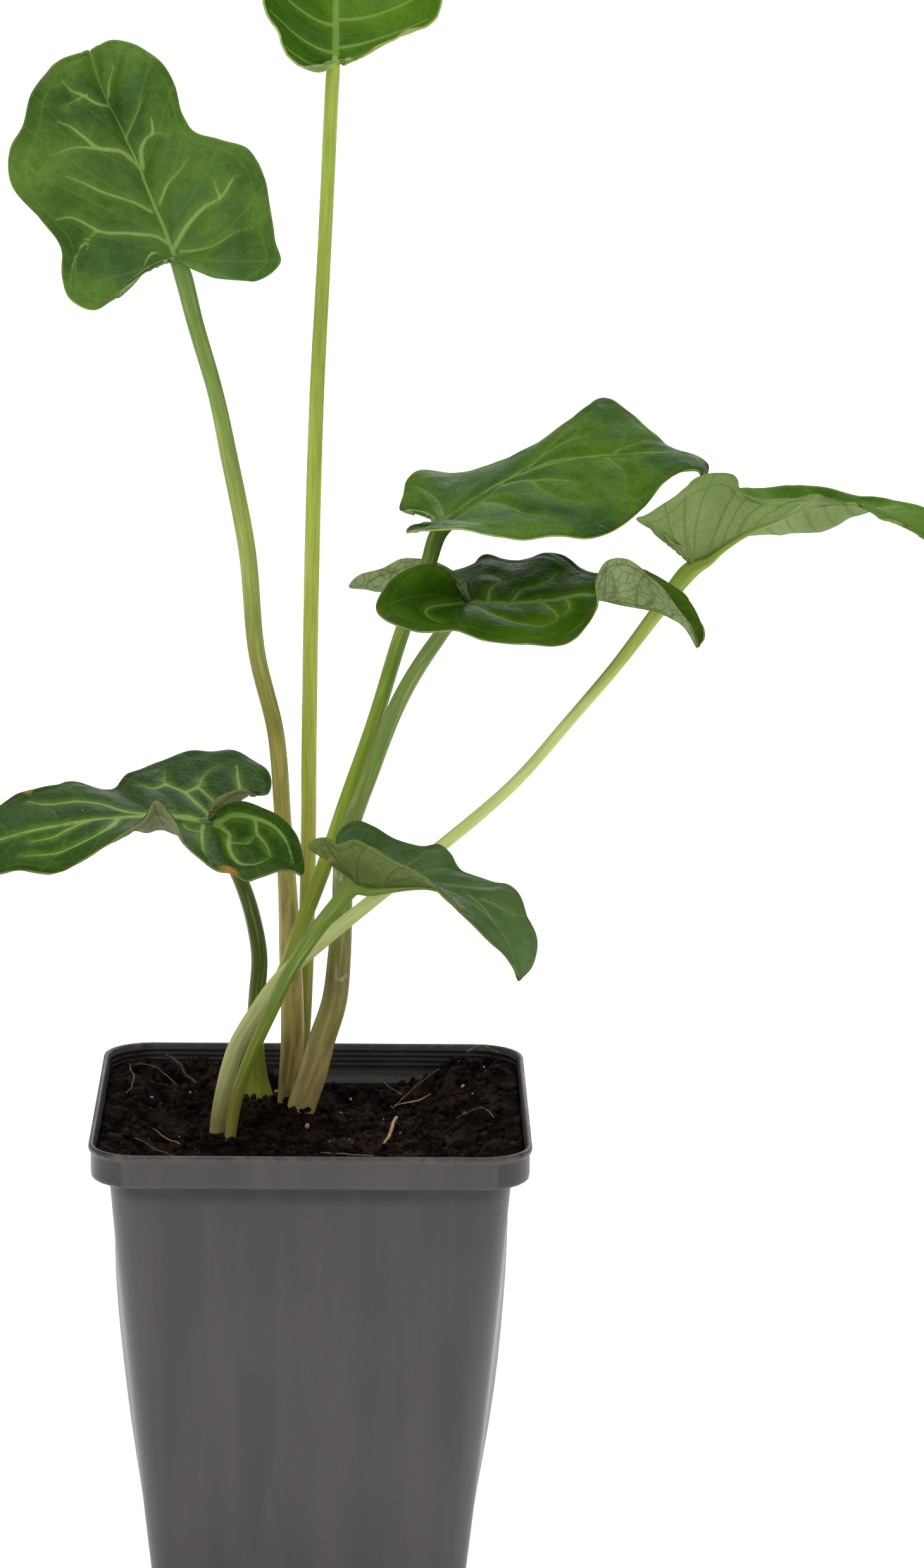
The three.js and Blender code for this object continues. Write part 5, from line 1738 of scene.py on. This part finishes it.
@dataclass
class Soil:
    """The peat: heaped round the crown and in the back right corner, crumbly on top."""

    pot: Pot
    level: float = 91.5
    gap: float = 0.35
    brim: float = 4.2
    cells: int = 170
    crumbs: int = 1900
    foot_crumbs: int = 40
    specks: int = 30
    stray_pebbles: int = 12
    edge_level: float = 90.0
    lower_levels: tuple[float, ...] = (84.0, 64.0, 42.0, 20.0)
    seed: int = 11

    def cover(self, x: np.ndarray, y: np.ndarray) -> np.ndarray:
        """How far the soil hides the pot's inner step: 1 all over, and 0 in the hollow behind."""
        behind = ease(y, 18.0, 31.0) * ease(x, -14.0, -4.0) * (1 - ease(x, 22.0, 31.0))
        return 1 - behind

    def plain(self, x: np.ndarray, y: np.ndarray) -> np.ndarray:
        """The soil's height before it is roughened.

        Args:
            x: places across, in millimetres.
            y: places along.

        Returns:
            The height at each place.
        """
        heaps = (
            mound(x, y, -5, 13, 3.2, 8) + mound(x, y, 34, 34, 6.5, 9)
            + mound(x, y, -34, -30, 2.5, 12) + mound(x, y, -30, 28, 3, 9)
            + mound(x, y, -2.5, 5, 2.6, 4.5) - mound(x, y, 12, 25, 3, 8)
        )
        brim = self.brim * ease(np.maximum(np.abs(x), np.abs(y)), 27.0, 38.0) * self.cover(x, y)
        return self.level + np.maximum(heaps, brim + 0.35 * heaps)

    def height(self, x: np.ndarray, y: np.ndarray) -> np.ndarray:
        """The roughened height.

        Args:
            x: places across, in millimetres.
            y: places along.

        Returns:
            The height at each place.
        """
        flat = np.column_stack([np.ravel(x), np.ravel(y), np.zeros(np.size(x))])
        lumps = 1.1 * soft_noise(flat, 8.0, 1.0) + 1.5 * soft_noise(flat, 3.3, 4.0)
        crumbs = 1.3 * np.abs(soft_noise(flat, 1.7, 8.0)) + 0.6 * soft_noise(flat, 0.95, 6.0)
        return self.plain(np.ravel(x), np.ravel(y)) + lumps + crumbs - 0.4

    def build(self) -> Piece:
        """Makes the soil and ties it to the frame.

        Returns:
            The finished soil.
        """
        piece = start_grid("soil_bed", self.cells, self.cells)
        half = self.pot.wall_half(self.edge_level) - self.pot.wall - self.gap
        straight = half - self.pot.base_corner
        steps = np.linspace(-half, half, self.cells + 1)
        x, y = np.meshgrid(steps, steps)
        square = np.maximum(np.abs(x), np.abs(y)) / half
        dx, dy = np.maximum(np.abs(x) - straight, 0), np.maximum(np.abs(y) - straight, 0)
        reach = np.maximum(np.hypot(dx, dy), 1e-9)
        shrink = np.maximum(dx, dy) / reach
        limit = self.pot.skirt_inner - self.gap - half
        spread = limit * ease(square, 0.88, 1.0) * self.cover(x, y)
        out_x = np.where(dx > 0, straight + dx * shrink, np.abs(x)) + spread * dx / reach
        out_y = np.where(dy > 0, straight + dy * shrink, np.abs(y)) + spread * dy / reach
        x, y = np.sign(x) * out_x, np.sign(y) * out_y
        z = self.height(x, y).reshape(x.shape)
        z = np.where(spread > 0.5, np.maximum(z, self.pot.foot + 1.1), z)
        place_vertices(piece, np.column_stack([x.ravel(), y.ravel(), z.ravel()]))
        with edit_mode(piece):
            bpy.ops.mesh.select_mode(type="EDGE")
            bpy.ops.mesh.select_non_manifold()
            bpy.ops.mesh.extrude_edges_move()
            bpy.ops.object.mode_set(mode="OBJECT")
            for vertex in (v for v in piece.data.vertices if v.select):
                corner = Vector((math.copysign(min(abs(vertex.co.x), straight * MM), vertex.co.x),
                                 math.copysign(min(abs(vertex.co.y), straight * MM), vertex.co.y)))
                out = vertex.co.xy - corner
                vertex.co.xy = corner + out * min(1.0, (half - 0.1 - straight) * MM / out.length)
                vertex.co.z = min((self.pot.foot - 1.5) * MM, vertex.co.z - 0.8 * MM)
            bpy.ops.object.mode_set(mode="EDIT")
            level = self.edge_level
            for next_level in (*self.lower_levels, self.pot.floor + self.gap):
                bpy.ops.mesh.extrude_edges_move(
                    TRANSFORM_OT_translate={"value": (0.0, 0.0, (next_level - level) * MM)})
                share = (self.pot.wall_half(next_level) - 0.3) / self.pot.wall_half(level)
                bpy.ops.transform.resize(value=(share, share, 0.0),
                                         center_override=(0.0, 0.0, next_level * MM))
                level = next_level
            bpy.ops.mesh.edge_face_add()
            bpy.ops.mesh.select_all(action="SELECT")
            bpy.ops.mesh.normals_make_consistent(inside=False)
        shade(piece)
        dress(piece, PeatFinish().material())
        mount(piece, Slot.PEAT, ["soil"])
        return piece

    def scatter(self, name: str, spots: Sequence[tuple[float, float, float]], faces: int,
                squash: float, sink: float) -> Piece:
        """Lays broken grains on the soil.

        Args:
            name: the joined piece's name.
            spots: x, y and radius of each grain.
            faces: how often each grain's ball is divided.
            squash: how flat the flattest grain may be.
            sink: the share of its radius that a grain is set in the soil.

        Returns:
            The grains as one piece.
        """
        rng = random.Random(self.seed + len(name))
        masters = []
        for number in range(3):
            clear_selection()
            bpy.ops.mesh.primitive_ico_sphere_add(subdivisions=faces, radius=1.0)
            master = bpy.context.object
            for vertex in master.data.vertices:
                vertex.co *= 1 + 0.42 * noise.noise(vertex.co * 1.3 + Vector((number * 7.0, 0, 0)))
            masters.append(master)
        grains = []
        levels = self.height(np.array([s[0] for s in spots]), np.array([s[1] for s in spots]))
        for (x, y, radius), level in zip(spots, levels):
            master = rng.choice(masters)
            grain = bpy.data.objects.new(name, master.data.copy())
            bpy.context.scene.collection.objects.link(grain)
            grain.location = (x * MM, y * MM, (level + radius * (1 - sink)) * MM)
            grain.rotation_euler = [rng.uniform(0, math.tau) for _ in range(3)]
            grain.scale = [radius * MM * rng.uniform(squash, 1.0) for _ in range(3)]
            grains.append(grain)
        for master in masters:
            bpy.data.objects.remove(master)
        return join(grains, name)

    def grains(self) -> None:
        """Scatters the crumbs, the perlite and the pebbles."""
        rng = random.Random(self.seed)
        reach = self.pot.wall_half(self.edge_level) - self.pot.wall + 0.5
        crumbs = [
            (rng.uniform(-reach, reach), rng.uniform(-reach, reach), 0.3 + 1.1 * rng.random() ** 3)
            for _ in range(self.crumbs)
        ]
        for shape in LEAVES:
            x, y, _, radius = shape.stalk[0]
            for _ in range(self.foot_crumbs):
                turn, away = rng.uniform(0, math.tau), radius + rng.uniform(-0.4, 1.0)
                crumbs.append((x + away * math.cos(turn), y + away * math.sin(turn),
                               rng.uniform(0.35, 0.85)))
        piece = self.scatter("soil_crumbs", crumbs, 1, 0.55, 0.4)
        shade(piece, 20.0)
        dress(piece, PeatFinish(dark=(0.008, 0.005, 0.0035)).material())
        mount(piece, Slot.PEAT, [])
        specks = [
            (rng.uniform(-reach, reach), rng.uniform(-reach, reach), rng.uniform(0.12, 0.27))
            for _ in range(self.specks)
        ]
        perlite = [(32.0, 27.0, 0.6), (8.0, 30.0, 0.35), (-34.0, 16.0, 0.4), (36.5, 33.0, 0.25),
                   (34.0, 37.0, 0.25), (28.0, 38.5, 0.22), *specks]
        piece = self.scatter("perlite", perlite, 2, 0.7, 0.25)
        shade(piece, 30.0)
        finish = LooseFinish("perlite", (0.6, 0.58, 0.54), (0.33, 0.3, 0.25), 0.5, 0.9)
        dress(piece, finish.material())
        mount(piece, Slot.PERLITE, [f"perlite_grain_{n}" for n in (1, 2, 3)])
        stones = [(-8.0, 32.5, 1.0), (-1.0, 0.5, 0.7)] + [
            (rng.uniform(-reach, reach), rng.uniform(-reach, reach), rng.uniform(0.2, 0.45))
            for _ in range(self.stray_pebbles)
        ]
        piece = self.scatter("pebbles", stones, 2, 0.6, 0.35)
        shade(piece, 50.0)
        finish = LooseFinish("pebble", (0.3, 0.17, 0.08), (0.45, 0.3, 0.16), 0.8, 0.8)
        dress(piece, finish.material())
        mount(piece, Slot.PEBBLE, ["pebble_1", "pebble_2"])


@dataclass
class Litter:
    """A straw, twig or root that lies on the soil, as a rough tapering strand."""

    name: str
    runs: tuple[tuple[Point, ...], ...]
    finish: LooseFinish
    slot: Slot
    nodes: tuple[str, ...] = ()
    sides: int = 8
    step: float = 0.5
    seed: int = 5

    def strand(self, soil: Soil, run: tuple[Point, ...], number: int) -> Piece:
        """Makes one strand.

        Args:
            soil: the soil that it lies on.
            run: x, y, lift over the soil and radius at each point.
            number: which strand it is, to vary its bends.

        Returns:
            The closed strand.
        """
        path = np.array(run, float)
        flat = np.column_stack([path[:, :2], np.zeros(len(path))])
        reach = max(1.0, float(np.linalg.norm(np.diff(flat, axis=0), axis=1).sum()))
        count = max(6, int(reach / self.step))
        at = np.linspace(0, len(path) - 1, count + 1)
        route = along_curve(flat, at)
        lift, radius = between(path[:, 2], at), between(path[:, 3], at)
        route[:, 2] = soil.plain(route[:, 0], route[:, 1]) + 0.9 + lift + radius
        for axis in range(3):
            route[:, axis] += 0.35 * soft_noise(route, 4.0, 3.0 * number + axis + self.seed)
        radius = radius * (1 + 0.25 * soft_noise(route, 1.6, number + 20.0))
        ahead = unit(np.gradient(route, axis=0))
        side = unit(np.cross(ahead, np.array([0.0, 0.0, 1.0])))
        third = np.cross(side, ahead) * -1
        angle = np.linspace(0, 2 * np.pi, self.sides + 1)[None, :, None]
        points = route[:, None] + radius[:, None, None] * (
            side[:, None] * np.cos(angle) + third[:, None] * np.sin(angle))
        piece = start_grid(f"{self.name}_{number}", self.sides, count)
        place_vertices(piece, points.reshape(-1, 3))
        weld(piece, close_ends=True)
        with edit_mode(piece):
            bpy.ops.mesh.select_all(action="SELECT")
            bpy.ops.mesh.normals_make_consistent(inside=False)
        return piece

    def build(self, soil: Soil) -> Piece:
        """Makes the strands as one piece and ties it to the frame.

        Args:
            soil: the soil that they lie on.

        Returns:
            The finished piece.
        """
        strands = [self.strand(soil, run, number) for number, run in enumerate(self.runs)]
        piece = join(strands, self.name)
        shade(piece, 60.0)
        dress(piece, self.finish.material())
        mount(piece, self.slot, self.nodes)
        return piece


# ---- the studio ----


@dataclass
class Studio:
    """The pale floor, the soft light and the camera."""

    lens: float = 129.02
    sensor_height: float = 36.0
    camera_place: Point = (0.009663, -1.131496, 0.411572)
    pitch: float = 12.189
    yaw: float = 1.0574
    roll: float = 0.608
    floor_half: float = 15.0
    floor_drop: float = 0.0003
    view_end: float = 60.0
    lamp_target: Point = (0.02, 0.0, 0.17)
    world_strength: float = 0.5
    lamps: tuple[tuple[str, Point, float, float], ...] = (
        ("key", (-1.3, -1.5, 1.9), 1.5, 22.0),
        ("fill", (1.6, -1.3, 1.0), 1.6, 7.0),
        ("top", (0.1, 0.5, 2.0), 1.4, 15.0),
        ("back", (0.5, 2.2, 1.1), 1.5, 9.0),
    )

    def light(self) -> None:
        """Adds the world's even light and the soft lamps."""
        world = bpy.data.worlds.new("studio_world")
        bpy.context.scene.world = world
        world.use_nodes = True
        background = world.node_tree.nodes["Background"]
        background.inputs["Color"].default_value = (1.0, 1.0, 1.0, 1.0)
        background.inputs["Strength"].default_value = self.world_strength
        target = Vector(self.lamp_target)
        for name, place, size, power in self.lamps:
            clear_selection()
            bpy.ops.object.light_add(type="AREA", location=place)
            lamp = bpy.context.object
            lamp.name = f"lamp_{name}"
            lamp.data.shape = "SQUARE"
            lamp.data.size = size
            lamp.data.energy = power
            lamp.rotation_euler = (target - Vector(place)).to_track_quat("-Z", "Y").to_euler()

    def lay_floor(self) -> Piece:
        """Adds the floor that the pot stands on.

        Returns:
            The floor.
        """
        clear_selection()
        bpy.ops.mesh.primitive_plane_add(size=2 * self.floor_half,
                                         location=(0.0, 0.0, -self.floor_drop))
        floor = bpy.context.object
        floor.name = "floor"
        bpy.ops.object.transform_apply(location=True)
        floor.data.materials.append(FloorFinish().material())
        return floor

    def aim(self) -> None:
        """Adds the camera, looking a little down and to the right."""
        pitch, yaw, roll = (math.radians(a) for a in (self.pitch, self.yaw, self.roll))
        ahead = Vector((math.sin(yaw) * math.cos(pitch), math.cos(yaw) * math.cos(pitch),
                        -math.sin(pitch)))
        right = Vector((math.cos(yaw), -math.sin(yaw), 0.0))
        up = right.cross(ahead)
        level_right = math.cos(roll) * right + math.sin(roll) * up
        level_up = -math.sin(roll) * right + math.cos(roll) * up
        clear_selection()
        bpy.ops.object.camera_add()
        camera = bpy.context.object
        camera.data.sensor_fit = "VERTICAL"
        camera.data.sensor_height = self.sensor_height
        camera.data.lens = self.lens
        camera.data.clip_end = self.view_end
        turned = Matrix((level_right, level_up, -ahead)).transposed().to_4x4()
        camera.matrix_world = Matrix.Translation(Vector(self.camera_place)) @ turned
        bpy.context.scene.camera = camera
        bpy.context.scene.view_settings.view_transform = "Standard"


LITTER = (
    Litter("straws", (
        ((17.5, 10, 0.3, 0.4), (16.5, 0, 0.1, 0.42), (15, -10, 0.1, 0.3)),
        ((17.5, 23, 0.2, 0.12), (21.3, 22.3, 0.5, 0.22), (25.2, 24, 0.5, 0.16)),
        ((-33, -8, 0.2, 0.1), (-30, -9, 0.4, 0.15), (-26, -14, 0.2, 0.1)),
    ), LooseFinish("straw", (0.3, 0.16, 0.06), (0.42, 0.26, 0.11), 1.2, 0.75), Slot.STRAW,
        ("straw", "bent_straw", "pale_root")),
    Litter("fibres", (
        ((12, 38, 2.5, 0.1), (15, 33, 2.2, 0.1), (19, 27, 1.2, 0.1)),
        ((17, 20, 0.4, 0.09), (21, 28, 1.4, 0.1), (27, 32, 0.8, 0.09)),
        ((-39, 27, 2.4, 0.09), (-38, 18, 1.6, 0.1), (-39, 8, 1.8, 0.09)),
        ((-38, 30, 1.5, 0.09), (-33, 29, 2.6, 0.1), (-29, 25, 0.6, 0.09)),
        ((-36, -22, 0.5, 0.08), (-31, -26, 1.2, 0.08), (-26, -29, 0.3, 0.08)),
        ((33, 38, 1.0, 0.12), (36, 40, 2.6, 0.12), (40, 38, 1.6, 0.1)),
        ((30, 8, 0.2, 0.09), (35, 4, 1.0, 0.1), (38, -4, 0.4, 0.09)),
        ((2, -16, 0.2, 0.1), (7, -19, 0.7, 0.12), (13, -18, 0.2, 0.1)),
    ), LooseFinish("fibre", (0.11, 0.07, 0.045), (0.22, 0.16, 0.1), 1.2, 0.8), Slot.TWIG),
    Litter("twig", (
        ((-32, 39, 1.2, 0.3), (-28.5, 34, 0.9, 0.45), (-25, 27, 0.2, 0.3)),
    ), LooseFinish("twig", (0.008, 0.005, 0.004), (0.03, 0.018, 0.012), 1.0, 0.85), Slot.TWIG,
        ("dark_twig",)),
)


def main() -> None:
    """Builds each piece in order, and reports it."""
    logging.basicConfig(level=logging.INFO, format="%(name)s: %(message)s")
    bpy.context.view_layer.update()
    studio = Studio()
    studio.aim()
    studio.light()
    studio.lay_floor()
    pot = Pot()
    pot.build()
    soil = Soil(pot)
    soil.build()
    soil.grains()
    for litter in LITTER:
        litter.build(soil)
    for shape in LEAVES:
        look = LOOKS[shape.name]
        blade = Blade(shape, look)
        blade.build()
        Stalk(blade, look).build()
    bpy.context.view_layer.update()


if __name__ == "__main__":
    main()
